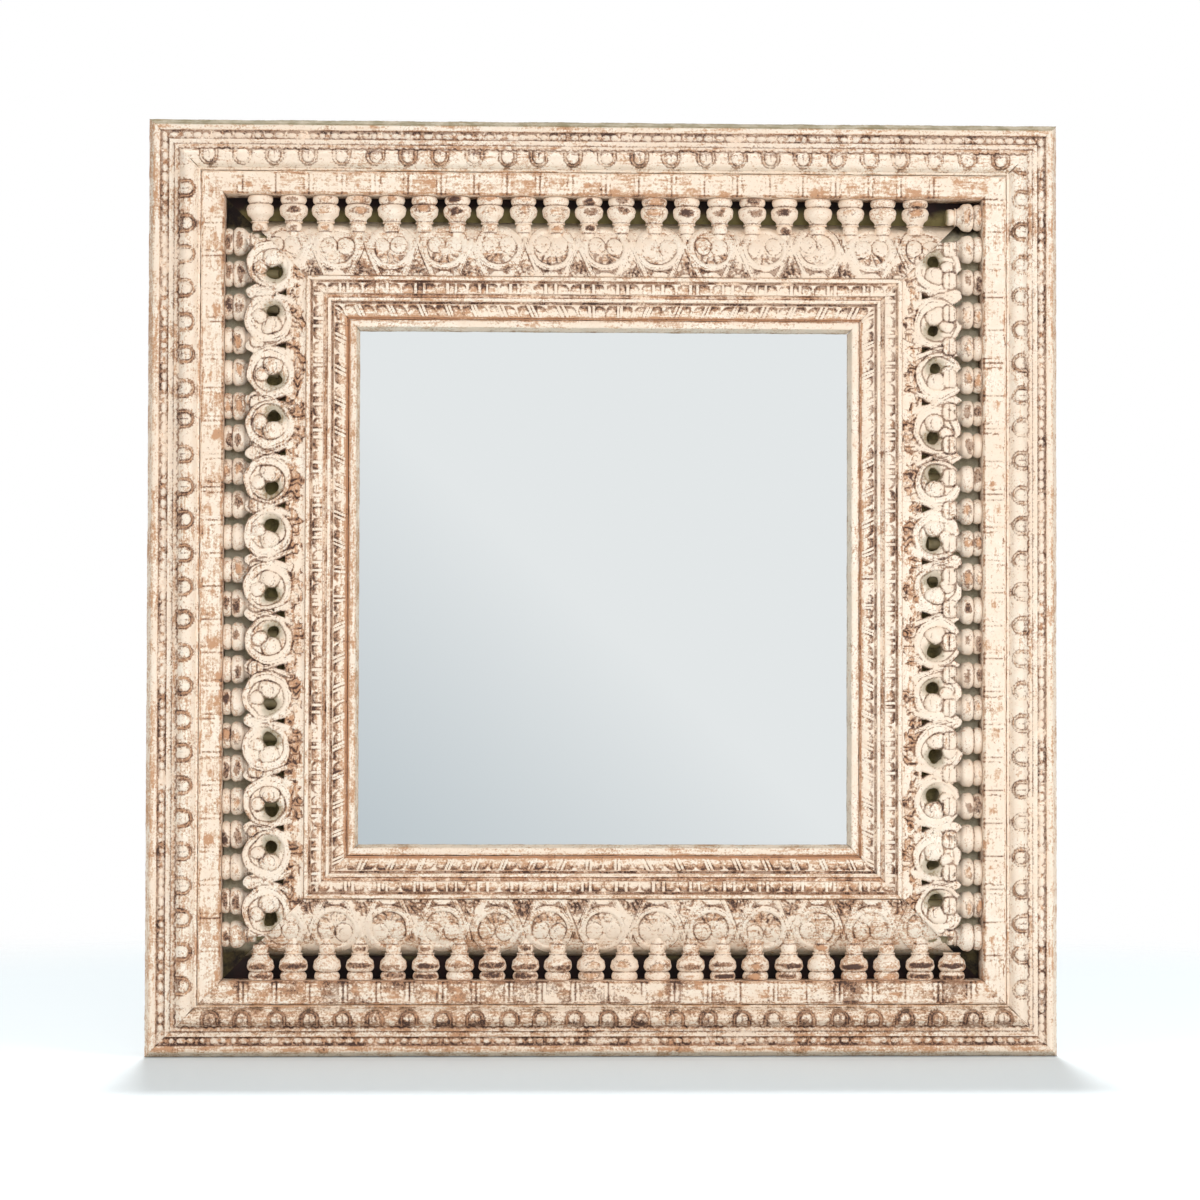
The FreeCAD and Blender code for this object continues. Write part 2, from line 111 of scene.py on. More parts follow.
def linear(red, green, blue):
    """A colour that is written as it shows on a screen, 0 to 255, as linear values."""
    shares = (red / 255, green / 255, blue / 255)
    return tuple(s / 12.92 if s <= 0.04045 else ((s + 0.055) / 1.055) ** 2.4 for s in shares)


def colour(name, description, red, green, blue):
    return bpy.props.FloatVectorProperty(name=name, description=description, subtype="COLOR", size=3,
                                         default=linear(red, green, blue), min=0, max=1)


class MirrorSizes(bpy.types.PropertyGroup):
    """Sizes of the frame's bands and of what is carved on them."""

    edge_width: length("Edge width", "Width of the carved outer moulding", 53)
    edge_rise: length("Edge rise", "Height of the outer moulding above its rail", 42)
    block_width: length("Block width", "Width of the rail of plinth blocks", 24)
    block_rise: length("Block rise", "Height of the plinth blocks above their rail", 34)
    gallery_width: length("Gallery width", "From the plinth blocks to the inner moulding", 81)
    inner_width: length("Inner width", "Width of the arcaded inner moulding", 43)
    inner_rise: length("Inner rise", "Height of the inner moulding above its rail", 31)
    bead_width: length("Bead width", "Width of the bead round the glass", 11)
    bead_rise: length("Bead rise", "Height of the bead above the glass", 16)
    groove_width: length("Groove width", "Width of the scribed joints between the blocks", 1.7)
    groove_depth: length("Groove depth", "Depth of the scribed joints between the blocks", 2.6)
    baluster_pitch: length("Baluster pitch", "Distance between the balusters", 33)
    baluster_setback: length("Baluster setback", "Balusters' axis below the blocks' faces", 18)
    ring_length: length("Ring length", "Length of a baluster's foot ring", 8)
    ring_radius: length("Ring radius", "Radius of a baluster's foot ring", 13.5)
    vase_length: length("Vase length", "Length of a baluster's vase", 18.5)
    vase_radius: length("Vase radius", "Largest radius of a baluster's vase", 13.5)
    torus_length: length("Torus length", "Length of a baluster's upper torus", 9)
    torus_radius: length("Torus radius", "Radius of a baluster's upper torus", 8)
    neck_radius: length("Neck radius", "Radius of a baluster's neck", 6)
    neck_length: length("Neck length", "Neck of a baluster that stands before a solid panel", 6)
    scroll_pitch: length("Scroll pitch", "Distance between the carved scrolls", 53.5)
    scroll_radius: length("Scroll radius", "Outer radius of a scroll's rim", 24.5)
    rim_width: length("Rim width", "Width of a scroll's rim", 7)
    hood_reach: length("Hood reach", "How far the solid panels roll outwards from the inner moulding", 60)
    hood_low: length("Hood foot", "Depth at which the solid panels start", 36)
    panel_rise: length("Panel rise", "Height of the scroll panels above the inner rail", 27)
    lip_thickness: length("Lip thickness", "Thickness of the pierced panels' free edge", 6)
    lip_fall: length("Lip fall", "How much the pierced panels fall towards their edge", 1.5)


class MirrorColours(bpy.types.PropertyGroup):
    """Colours of the paint, of what shows through it and of the bare materials."""

    cream: colour("Cream", "Antique cream paint", 246, 226, 205)
    pale: colour("Pale cream", "Paint where it is thickest", 253, 242, 226)
    tan: colour("Tan", "Thin, rubbed paint", 219, 182, 150)
    rust: colour("Rust", "Undercoat where the paint has gone", 198, 145, 106)
    # In the paint, umber and the darkest specks follow the hollow attribute: soiling in the hollows and, in
    # places, painted shade.
    umber: colour("Umber", "Dirt in the carved hollows", 144, 106, 82)
    soot_and_shadow: colour("Soot", "Darkest specks", 56, 38, 38)
    # Olive is painted shade: the shade attribute mixes it in where surfaces face up or down, roll away from
    # the lamps, lie sunk or stand behind other parts.
    olive: colour("Olive", "Old varnish on edges that face up or down", 132, 120, 86)
    wood: colour("Wood", "Bare planed wood", 176, 138, 98)
    wood_dark: colour("Dark grain", "Grain of the bare wood", 120, 84, 55)
    # Painted light: near-white on the ground between the side balusters, where the side light falls in.
    painted_light: colour("Wash", "Thin wash on the ground between the side balusters", 250, 240, 212)
    stain: colour("Stain", "Stained boards and rails behind the balusters", 160, 148, 98)
    stain_dark: colour("Dark stain", "Grain of the stained boards", 104, 92, 58)
    # Painted shadow: black on the gallery boards where shade falls beside the plinth blocks, in the bottom
    # gallery and in the corners.
    char: colour("Char", "Blackened ground beside the plinth blocks", 40, 32, 32)
    board: colour("Board", "Backing board", 128, 98, 70)
    silver: colour("Silver", "Tint of the mirror's silver", 246, 249, 250)
    steel: colour("Steel", "Zinc on the screws and hangers", 190, 188, 182)
    felt: colour("Felt", "Wall bumpers", 52, 49, 46)


class Layout:
    """Places across and depths of the bands, worked out from the sizes and the frame."""

    def __init__(self):
        sizes = bpy.context.scene.mirror_sizes
        self.sizes = sizes
        self.block_start = sizes.edge_width
        self.gallery_start = self.block_start + sizes.block_width
        self.panel_end = self.gallery_start + sizes.gallery_width
        self.bead_start = self.panel_end + sizes.inner_width
        self.sight_line = self.bead_start + sizes.bead_width
        self.rail_front = -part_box("outer_moulding_top")[1].y
        self.inner_front = -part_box("inner_moulding_top")[1].y
        self.glass_front = -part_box("sight_bead_top")[1].y
        self.board_front = -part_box("gallery_board_top")[0].y
        self.inner_rail_start = cad_box[1].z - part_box("inner_rail_top")[1].z
        self.block_face = self.rail_front + sizes.block_rise
        self.panel_front = self.inner_front + sizes.panel_rise
        self.baluster_depth = self.block_face - sizes.baluster_setback
        self.vase_end = self.gallery_start + sizes.ring_length + sizes.vase_length
        self.torus_end = self.vase_end + sizes.torus_length


class Side:
    """One side of the frame: where it turns to, its balusters, and how far it is worn."""

    def __init__(self, name, quarter, count, shift, stops, pierced, wear):
        low, high = cad_box
        width = high.x - low.x
        height = high.z - low.z
        self.name = name
        self.quarter = quarter
        self.level = quarter % 2 == 0
        self.half = (width if self.level else height) / 2
        self.span = (height if self.level else width) / 2
        self.count = count
        self.shift = shift * MM
        self.stops = stops
        self.pierced = pierced
        self.knobs_over = name == "right"
        self.tone, self.tanned, self.inked, self.burnt = wear

    def place(self, along, across, depth):
        """Points of the side in the frame's own axes."""
        x = along
        z = self.span - across
        turned = ((x, z), (z, -x), (-x, -z), (-z, x))[self.quarter]
        return np.stack([turned[0], -depth, turned[1]], axis=-1)

    def stations(self, pitch):
        first = self.shift - (self.count - 1) * pitch / 2
        stops = [self.stops[0]] + ["full"] * (self.count - 2) + [self.stops[1]]
        return [(first + i * pitch, stop) for i, stop in enumerate(stops)]

    def joints(self, pitch):
        """Middles of the scribed joints on both sides of every baluster."""
        stations = [along for along, _ in self.stations(pitch)]
        return np.array([along - pitch / 2 for along in stations] + [stations[-1] + pitch / 2])


# The rows don't start alike at the corners. Wear is the paint's thinness, how tan and how dark the
# carved lines are, and the share of balusters whose fronts are burnt dark.
SIDES = (
    Side("top", 0, 21, -16.0, ("torus", "torus"), False, (0.02, 0.55, 1.0, 0.35)),
    Side("right", 1, 23, -12.5, ("torus", "neck"), True, (-0.10, 0.75, 0.55, 0.45)),
    Side("bottom", 2, 22, -5.0, ("vase", "torus"), False, (0.16, 0.8, 1.0, 0.75)),
    Side("left", 3, 22, 0.0, ("full", "full"), True, (0.04, 1.0, 0.5, 0.45)))


class Lattice:
    """Smooth random values over a plane, from -1 to 1, the same on every run."""

    CELLS = 256

    def __init__(self, seed, cell):
        self.values = np.random.default_rng(seed).uniform(-1, 1, (self.CELLS, self.CELLS))
        self.cell = cell

    def __call__(self, x, y):
        u = x / self.cell
        v = y / self.cell
        i = np.floor(u).astype(int)
        j = np.floor(v).astype(int)
        s = smooth_share(u - i)
        t = smooth_share(v - j)
        low = self.at(i, j) * (1 - s) + self.at(i + 1, j) * s
        high = self.at(i, j + 1) * (1 - s) + self.at(i + 1, j + 1) * s
        return low * (1 - t) + high * t

    def at(self, i, j):
        return self.values[i % self.CELLS, j % self.CELLS]


def smooth_share(share):
    """A share from 0 to 1, eased in and out."""
    return share * share * (3 - 2 * share)


def ramp(value, low, high):
    """0 up to low, 1 from high, smooth between."""
    return smooth_share(np.clip((value - low) / (high - low), 0, 1))


def between(value, start, end):
    """1 in a band that fades in over the pair of places start and out over the pair end."""
    return ramp(value, *start) * ramp(value, end[1], end[0])


def hump(distance, half):
    """1 at distance 0, falling roundly to 0 at half."""
    return np.clip(1 - (distance / half) ** 2, 0, 1)


def dome(distance, radius):
    """Height of a round dome as a share of its middle."""
    return np.sqrt(np.clip(1 - (distance / radius) ** 2, 0, 1))


def ribs(angle, count):
    """1 on the ribs of a leaf that spread with the angle, 0 in the cuts between them."""
    return 0.5 + 0.5 * np.cos(angle * count)


def unit_numbers(along, pitch, first=0.0):
    """Number of the nearest repeat, and the distance along from its middle."""
    number = np.round((along - first) / pitch)
    return number.astype(int), along - first - number * pitch


def random_of(number, seed, low, high):
    """A random value for each repeat, the same for all its points."""
    table = np.random.default_rng(seed).uniform(low, high, 512)
    return table[number % len(table)]


def every_other(number):
    """1 and -1 by turns, for what is carved the other way round in every second repeat."""
    return np.where(number % 2 == 0, 1.0, -1.0)


def blurred(values, reach, axis):
    """Running mean over reach cells to each side."""
    if reach < 1:
        return values
    pad = [(0, 0), (0, 0)]
    pad[axis] = (reach + 1, reach)
    total = np.cumsum(np.pad(values, pad, mode="edge"), axis=axis)
    width = 2 * reach + 1
    high = np.take(total, range(width, total.shape[axis]), axis=axis)
    low = np.take(total, range(0, total.shape[axis] - width), axis=axis)
    return (high - low) / width


def bowed_run(start, end, bulge, spacing):
    """Points from start up to end without end, on an arc whose height is bulge times its chord."""
    start = np.array(start, float)
    end = np.array(end, float)
    chord = end - start
    size = np.hypot(*chord)
    count = max(1, int(math.ceil(size / spacing)))
    shares = np.arange(count) / count
    if not bulge:
        return start + shares[:, None] * chord
    half_angle = 2 * math.atan(2 * bulge)
    radius = size / 2 / math.sin(half_angle)
    angles = (2 * shares - 1) * half_angle
    forward = 0.5 + radius * np.sin(angles) / size
    sideways = radius * (np.cos(angles) - math.cos(half_angle)) / size
    left = np.array([-chord[1], chord[0]])
    return start + forward[:, None] * chord + sideways[:, None] * left


def section_rows(start, base, width, rise, shares, fine, coarse):
    """A closed section as points (across, depth), fine on the front and coarse down to the foot."""
    runs = []
    places = [(start + share[0] * width, base + share[1] * rise) for share in shares]
    for i, share in enumerate(shares):
        following = (i + 1) % len(shares)
        ahead = shares[following]
        spacing = coarse if min(share[1], ahead[1]) == 0 else fine
        runs.append(bowed_run(places[i], places[following], bulge_of(ahead), spacing))
    return np.concatenate(runs)


def bulge_of(share):
    """The bulge of the run to a section's corner, which is left out where the run is straight."""
    return share[2] if len(share) > 2 else 0


def unit(directions):
    """Directions of length 1, and near 0 where there is none."""
    return directions / np.maximum(np.hypot(directions[:, 0], directions[:, 1]), 1e-9)[:, None]


def row_normals(rows):
    """Outward directions of a closed section's points."""
    ahead = unit(np.roll(rows, -1, axis=0) - rows)
    behind = unit(rows - np.roll(rows, 1, axis=0))
    tangent = unit(ahead + behind)
    return np.stack([-tangent[:, 1], tangent[:, 0]], axis=1)


def column_grid(side, rows, straight, ends):
    """Place along of each row and column, and how far each is from the mitre. The straight columns lie
    square to the side, and those at the ends fan out to the mitre."""
    limit = side.half - rows[:, 0].max() - MITRE_MARGIN
    inner = np.array([x for x in straight if abs(x) < limit])
    spread = np.arange(1, ends + 1) / ends
    mitre = side.half - rows[:, 0][:, None]
    left = inner[0] - spread[::-1][None, :] * (inner[0] + mitre)
    right = inner[-1] + spread[None, :] * (mitre - inner[-1])
    middle = np.repeat(inner[None, :], len(rows), axis=0)
    along = np.concatenate([left, middle, right], axis=1)
    return along, mitre - np.abs(along)


def hollows(height, row_step, column_step):
    """How far each point lies below its surroundings, and how far above, in steps of a carved line."""
    found = []
    for reach in (FINE_BLUR, WIDE_BLUR):
        mean = blurred(height, int(round(reach / row_step)), 0)
        mean = blurred(mean, int(round(reach / column_step)), 1)
        found.append(mean - height)
    near, wide = found
    below = 0.7 * np.clip(near / CARVED_STEP, 0, 1) + 0.3 * np.clip(wide / (2 * CARVED_STEP), 0, 1)
    above = np.clip(-near / CARVED_STEP, 0, 1.2)
    return np.minimum(below, 0.85), above


class Carving:
    """What the carver and the painter did to each point: its height, its wear, its soiling with some painted
    shade, and its painted olive shade.
    """

    def __init__(self, along, across, seed):
        self.slow = Lattice(seed, SLOW_CELL)(along, across)
        self.ragged = Lattice(seed + 1, RAGGED_CELL)(along, across)
        self.quick = Lattice(seed + 2, QUICK_CELL)(along, across)
        self.base = np.full(along.shape, -CARVED_BELOW)
        self.lift = MM * (0.22 * self.slow + 0.12 * self.ragged + 0.14 * self.quick)
        self.rub = 0.14 * self.slow + 0.12 * self.ragged + 0.08 * self.quick
        self.dirt = np.zeros(along.shape)
        self.shade = np.zeros(along.shape)

    def add(self, where, lift=0.0, rub=0.0, dirt=0.0, shade=0.0):
        """Changes the points where the mask is above 0, by millimetres of height and shares of the rest."""
        self.lift = self.lift + where * lift * MM
        self.rub = self.rub + where * rub
        self.dirt = self.dirt + where * dirt
        self.shade = self.shade + where * shade

    def line(self, across, place, half, ragged=0.0, where=1.0, **marks):
        """Marks a line along the side. Its place, half width and raggedness are in millimetres."""
        strip = hump(across - place * MM - ragged * MM * self.ragged, half * MM)
        self.add(where * strip, **marks)

    def sink(self, where, depth):
        """Lowers a band all along the side, also at the mitres."""
        self.base = self.base - where * depth * MM

    def patchy(self, middle, high):
        """A strength that comes and goes slowly, from 0 to high."""
        return np.clip(middle + self.slow, 0, high)

    def hollow(self, side, below):
        """Dirt and painted shade of each point: the hollows' and its own, which comes and goes along the
        side.
        """
        patchy = np.clip(0.85 + 0.4 * self.slow + 0.25 * self.ragged, 0.4, 1.25)
        return np.clip(below * (0.6 + 0.4 * side.inked) * patchy + self.dirt * patchy, -0.5, 1.3)


def store(mesh, name, values):
    attribute = mesh.attributes.get(name) or mesh.attributes.new(name, "FLOAT", "POINT")
    attribute.data.foreach_set("value", np.ascontiguousarray(values, dtype=np.float32).ravel())


def fetch(mesh, name):
    values = np.empty(len(mesh.vertices), np.float32)
    mesh.attributes[name].data.foreach_get("value", values)
    return values


def read_points(mesh):
    points = np.empty(len(mesh.vertices) * 3, np.float32)
    mesh.vertices.foreach_get("co", points)
    return points.reshape(-1, 3).astype(float)


def write_points(mesh, points):
    mesh.vertices.foreach_set("co", np.ascontiguousarray(points, dtype=np.float32).ravel())


def shape_of(mesh):
    shape = bmesh.new()
    shape.from_mesh(mesh)
    return shape


def put_back(shape, mesh):
    """Writes a shape into a mesh and lets go of it."""
    shape.to_mesh(mesh)
    shape.free()
    return mesh


def flat_grid(name, columns, rows):
    """A flat grid mesh, and the column and row number of each of its points."""
    shape = bmesh.new()
    bmesh.ops.create_grid(shape, x_segments=columns, y_segments=rows, size=1)
    mesh = put_back(shape, bpy.data.meshes.new(name))
    points = read_points(mesh)
    column = np.rint((points[:, 0] + 1) / 2 * columns).astype(int)
    row = np.rint((points[:, 1] + 1) / 2 * rows).astype(int)
    return mesh, column, row


def close_up(mesh):
    """Welds the seam, fills the open ends and turns the faces outwards."""
    shape = shape_of(mesh)
    bmesh.ops.remove_doubles(shape, verts=shape.verts, dist=WELD)
    open_edges = [edge for edge in shape.edges if edge.is_boundary]
    bmesh.ops.holes_fill(shape, edges=open_edges, sides=0)
    bmesh.ops.triangulate(shape, faces=[face for face in shape.faces if len(face.verts) > 4])
    bmesh.ops.recalc_face_normals(shape, faces=shape.faces)
    put_back(shape, mesh)


def face_outwards(mesh):
    shape = shape_of(mesh)
    bmesh.ops.recalc_face_normals(shape, faces=shape.faces)
    put_back(shape, mesh)


def finish_piece(mesh, side, node):
    """Makes the mesh a painted piece of the frame that stands for a node: smooth, with creases."""
    mesh.shade_smooth()
    mesh.set_sharp_from_angle(angle=CREASE_ANGLE)
    mesh.materials.append(paint_for(side))
    piece = bpy.data.objects.new(mesh.name, mesh)
    bpy.context.scene.collection.objects.link(piece)
    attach(piece, "frame")
    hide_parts(node + side.name)


def carved_run(name, side, rows, columns, ends, carve, fine, column_step):
    """A mitred length of moulding whose section rows are carved by a function of (along, across)."""
    along, to_mitre = column_grid(side, rows, columns, ends)
    across = np.repeat(rows[:, 0][:, None], along.shape[1], axis=1)
    depth = np.repeat(rows[:, 1][:, None], along.shape[1], axis=1)
    normals = row_normals(rows)
    cut = carve(side, along, across)
    lift = cut.base + cut.lift * ramp(to_mitre, 0, MITRE_FADE)
    raised = depth + lift * normals[:, 1][:, None]
    below, above = hollows(raised, fine, column_step)
    hollow = cut.hollow(side, below) + 0.25 * hump(to_mitre, 0.8 * MM)
    points = side.place(along, across + lift * normals[:, 0][:, None], raised)
    mesh, column, row = flat_grid(name + side.name, along.shape[1] - 1, len(rows))
    row = row % len(rows)
    write_points(mesh, points[row, column])
    store(mesh, "hollow", hollow[row, column])
    store(mesh, "rub", (cut.rub + 0.15 * above + side.tone)[row, column])
    store(mesh, "shade", cut.shade[row, column])
    close_up(mesh)
    return mesh


# Outer moulding. A pair of places across is where a band fades in or out.
EDGE_FINE = 0.95 * MM
EDGE_STEP = 1.25 * MM
EDGE_COARSE = 14 * MM
EDGE_FAN = 36
CHAMFER_END = (5.6 * MM, 7.0 * MM)
# The chamfer's olive is painted shade, strongest at the top, where the chamfer faces up, away from the lamps.
CHAMFER_WEAR_AND_SHADE = ((0.1, 0.85), (0.3, 0.1), (-0.2, 0.35), (0.3, 0.1))  # rub and olive shade of each side
CHAMFER_LINE = 7.6 * MM
STREAK_CELL = 30 * MM
OUTER_FACE = 0.05 * MM
BEAD_ROW_ACROSS = 16.4 * MM
BEAD_ROW_HALF_WIDTH = 3.1 * MM
BEAD_ROW_PITCH = 10.5 * MM
BEAD_ROW_HALF_LENGTH = 4.3 * MM
BEAD_CRESCENT = 13.5 * MM
BEAD_CRESCENT_HALF = 4.8 * MM
SCALLOP_ACROSS = 29.6 * MM
SCALLOP_PITCH = 8.4 * MM
SCALLOP_DEPTH = 1.4 * MM
EGG_BAND = ((31 * MM, 33 * MM), (49.5 * MM, 50.5 * MM))
EGG_ACROSS = 39.0 * MM
EGG_SHELL = (9.2 * MM, 10.4 * MM)
EGG_YOLK = (6.2 * MM, 7.9 * MM)
EGG_START = (30.6 * MM, 32.4 * MM)
EGG_END = (49.8 * MM, 50.6 * MM)
EGG_MOUTH = (34.0 * MM, 38.5 * MM)
EGG_VEIN = ((33.0 * MM, 34.5 * MM), (42.0 * MM, 44.5 * MM))
EGG_CURL = (10.8 * MM, 33.0 * MM, 2.3 * MM)  # along from the egg's middle, across, radius
EGG_SHADE = (44 * MM, 50.5 * MM)
CREASE_ACROSS = 51.4 * MM
# Band of the bottom's outer moulding darkened with painted shade, soiling and wear, fading out between these
# places
BOTTOM_DIRT_AND_SHADE = (22 * MM, 34 * MM)


def carve_bead_row(cut, side, along, across, seed):
    """Beads in the outer groove, with dark crescents over them."""
    number, offset = unit_numbers(along, BEAD_ROW_PITCH)
    offset = offset - random_of(number, seed, -1.5 * MM, 1.5 * MM)
    size = random_of(number, seed + 1, 0.55, 1.25)
    width = (across - BEAD_ROW_ACROSS) / BEAD_ROW_HALF_WIDTH
    bead = dome(np.hypot(offset / (BEAD_ROW_HALF_LENGTH * size), width), 1)
    groove = hump(across - BEAD_ROW_ACROSS, 1.3 * BEAD_ROW_HALF_WIDTH)
    cut.add(groove * (1 - bead), lift=-0.4, rub=0.15 + 0.35 * side.tanned, dirt=0.15)
    cut.add(bead, lift=1.6, rub=-0.3, dirt=-0.2)
    crescent = hump(across - BEAD_CRESCENT - 1.2 * MM * (offset / (5 * MM)) ** 2, 1.4 * MM)
    crescent = crescent * (np.abs(offset) < BEAD_CRESCENT_HALF) * random_of(number, seed + 2, 0.1, 1.3)
    cut.add(crescent, lift=-0.5, dirt=side.inked)


def carve_eggs(cut, side, along, across, seed):
    """Eggs between the balusters, open towards the outside."""
    pitch = bpy.context.scene.mirror_sizes.baluster_pitch
    number, offset = unit_numbers(along, pitch, side.joints(pitch)[0])
    offset = offset - random_of(number, seed, -1.3 * MM, 1.3 * MM) + 0.35 * MM * cut.ragged
    here = between(across, EGG_START, EGG_END)
    here = here * ramp(side.half - EGG_ACROSS - np.abs(along), 6 * MM, 11 * MM)
    here = here * random_of(number, seed + 1, 0.85, 1.15)
    drop = np.maximum(across - EGG_ACROSS, 0)
    shell = (np.hypot(offset / EGG_SHELL[0], drop / EGG_SHELL[1]) - 1) * EGG_SHELL[0]
    yolk = (np.hypot(offset / EGG_YOLK[0], drop / EGG_YOLK[1]) - 1) * EGG_YOLK[0]
    ring = ramp(shell, 0.9 * MM, -0.9 * MM) * ramp(yolk, -0.9 * MM, 0.9 * MM)
    cut.add(here * hump(shell, 1.2 * MM), lift=-1.0, rub=0.3, dirt=0.75)
    cut.add(here * hump(yolk, 1.3 * MM), lift=-1.2, rub=0.3, dirt=0.6)
    cut.add(here * ring, lift=0.3, rub=0.05 + 0.5 * side.tanned ** 2, dirt=0.1 * side.tanned ** 2)
    cut.add(here * dome(np.maximum(yolk + EGG_YOLK[0], 0), EGG_YOLK[0]), lift=0.9, rub=-0.15)
    open_end = ramp(across, EGG_MOUTH[1], EGG_MOUTH[0]) * ramp(yolk, 0.5 * MM, -1.0 * MM)
    cut.add(here * open_end * random_of(number, seed + 2, 0.2, 1.1), lift=-0.7, rub=0.35, dirt=0.8)
    cut.add(here * hump(offset, 0.75 * MM) * between(across, *EGG_VEIN), lift=-0.6, dirt=0.6)
    curl = hump(np.hypot(np.abs(offset) - EGG_CURL[0], across - EGG_CURL[1]) - EGG_CURL[2], 1.1 * MM)
    curl = curl * ramp(np.abs(offset), 8 * MM, 9.5 * MM)
    cut.add(here * curl, lift=-0.6, rub=0.5 * side.tanned, dirt=0.3)


def carve_edge(side, along, across):
    """Chamfer, bead row, scalloped fillet and eggs of the outer moulding."""
    seed = 100 + 10 * side.quarter
    cut = Carving(along, across, seed)
    cut.sink(between(across, *EGG_BAND), 0.9)
    # Wear and painted olive shade of the chamfer.
    rub, shade = CHAMFER_WEAR_AND_SHADE[side.quarter]
    cut.add(ramp(across, CHAMFER_END[1], CHAMFER_END[0]), rub=rub, shade=shade)
    streaks = np.clip(0.5 + Lattice(seed + 3, STREAK_CELL)(along, across * 6), 0, 1.3)
    cut.add(hump(across - CHAMFER_LINE, 3.0 * MM) * streaks, rub=0.35)
    cut.line(across, 12.2, 0.9, rub=0.45, dirt=0.4)
    carve_bead_row(cut, side, along, across, seed + 20)
    cut.line(across, 20.2, 1.0, lift=-0.25, rub=0.4, dirt=0.55)
    cut.line(across, 26.4, 0.9, ragged=0.5, lift=-0.2, rub=0.4, dirt=0.5)
    scallop = SCALLOP_DEPTH * np.abs(np.sin(math.pi * along / SCALLOP_PITCH))
    wave = SCALLOP_ACROSS + scallop + 0.6 * MM * cut.ragged
    cut.add(hump(across - wave, 1.1 * MM), lift=-0.6, rub=0.4, dirt=0.25 + 0.3 * side.inked)
    cut.add(hump(across - wave + 1.8 * MM, 1.7 * MM), rub=0.3)
    carve_eggs(cut, side, along, across, seed + 30)
    crease = CREASE_ACROSS + 0.9 * MM * cut.ragged
    cut.add(hump(across - crease, 1.5 * MM), lift=0.9, dirt=-0.4)
    cut.add(hump(across - crease - 1.6 * MM, 1.0 * MM) * cut.patchy(0.4, 1), rub=0.2 + 0.3 * side.tanned)
    # Painted olive shade under the ovolo's roll, on the top and bottom sides only.
    if side.level:
        cut.add(ramp(across, *EGG_SHADE), shade=0.25)
    if side.name == "bottom":
        # Painted olive shade on the outer face, which faces down.
        cut.add(across < OUTER_FACE, shade=0.8)
        # The bottom's moulding made darker: painted shade with soiling and wear.
        cut.add(ramp(across, BOTTOM_DIRT_AND_SHADE[1], BOTTOM_DIRT_AND_SHADE[0]), rub=0.2, dirt=0.15)
        cut.add(ramp(across, 30 * MM, 33 * MM), rub=0.2, dirt=0.36)
    return cut


# Plinth blocks
BLOCK_FINE = 1.3 * MM
BLOCK_STEP = 1.4 * MM
BLOCK_COARSE = 8 * MM
BLOCK_FAN = 12
BLOCK_FACE = (53.1 * MM, 76.9 * MM)
BLOCK_RUB = (0.2, 0.08, 0.13, 0.15)  # at the top, right, bottom and left
JOINT_START = (55.0 * MM, 57.5 * MM)
JOINT_SIDE = 1.7 * MM
BLOCK_COLUMNS = 22
NOTCH = 3.4 * MM
PATCH_ACROSS = 69.0 * MM


def block_columns(side, sizes):
    """Columns that stand close together at the scribed joints."""
    half = (0.42 * sizes.groove_width, sizes.groove_width / 2, 1.1 * MM, JOINT_SIDE)
    offsets = [-place for place in half[::-1]] + list(half)
    rest = sizes.baluster_pitch - 2 * JOINT_SIDE
    places = []
    for joint in side.joints(sizes.baluster_pitch):
        places += [joint + offset for offset in offsets]
        places += list(joint + JOINT_SIDE + np.arange(1, BLOCK_COLUMNS) / BLOCK_COLUMNS * rest)
    return places


def carve_patches(cut, where, number, offset, across, seed):
    """Worn places on the blocks' faces."""
    for first in (seed, seed + 10):
        middle = random_of(number, first, -9 * MM, 9 * MM)
        middle_across = PATCH_ACROSS + random_of(number, first + 1, -9 * MM, 6 * MM)
        wide = random_of(number, first + 2, 3 * MM, 9 * MM)
        tall = random_of(number, first + 3, 2.5 * MM, 6.5 * MM)
        strength = np.maximum(random_of(number, first + 4, -0.5, 1.0), 0)
        sideways = (offset - middle + 2 * MM * cut.ragged) / wide
        inwards = (across - middle_across + 1.5 * MM * cut.quick) / tall
        cut.add(where * strength * np.clip(1.7 * (1 - np.hypot(sideways, inwards)), 0, 1), rub=0.75)


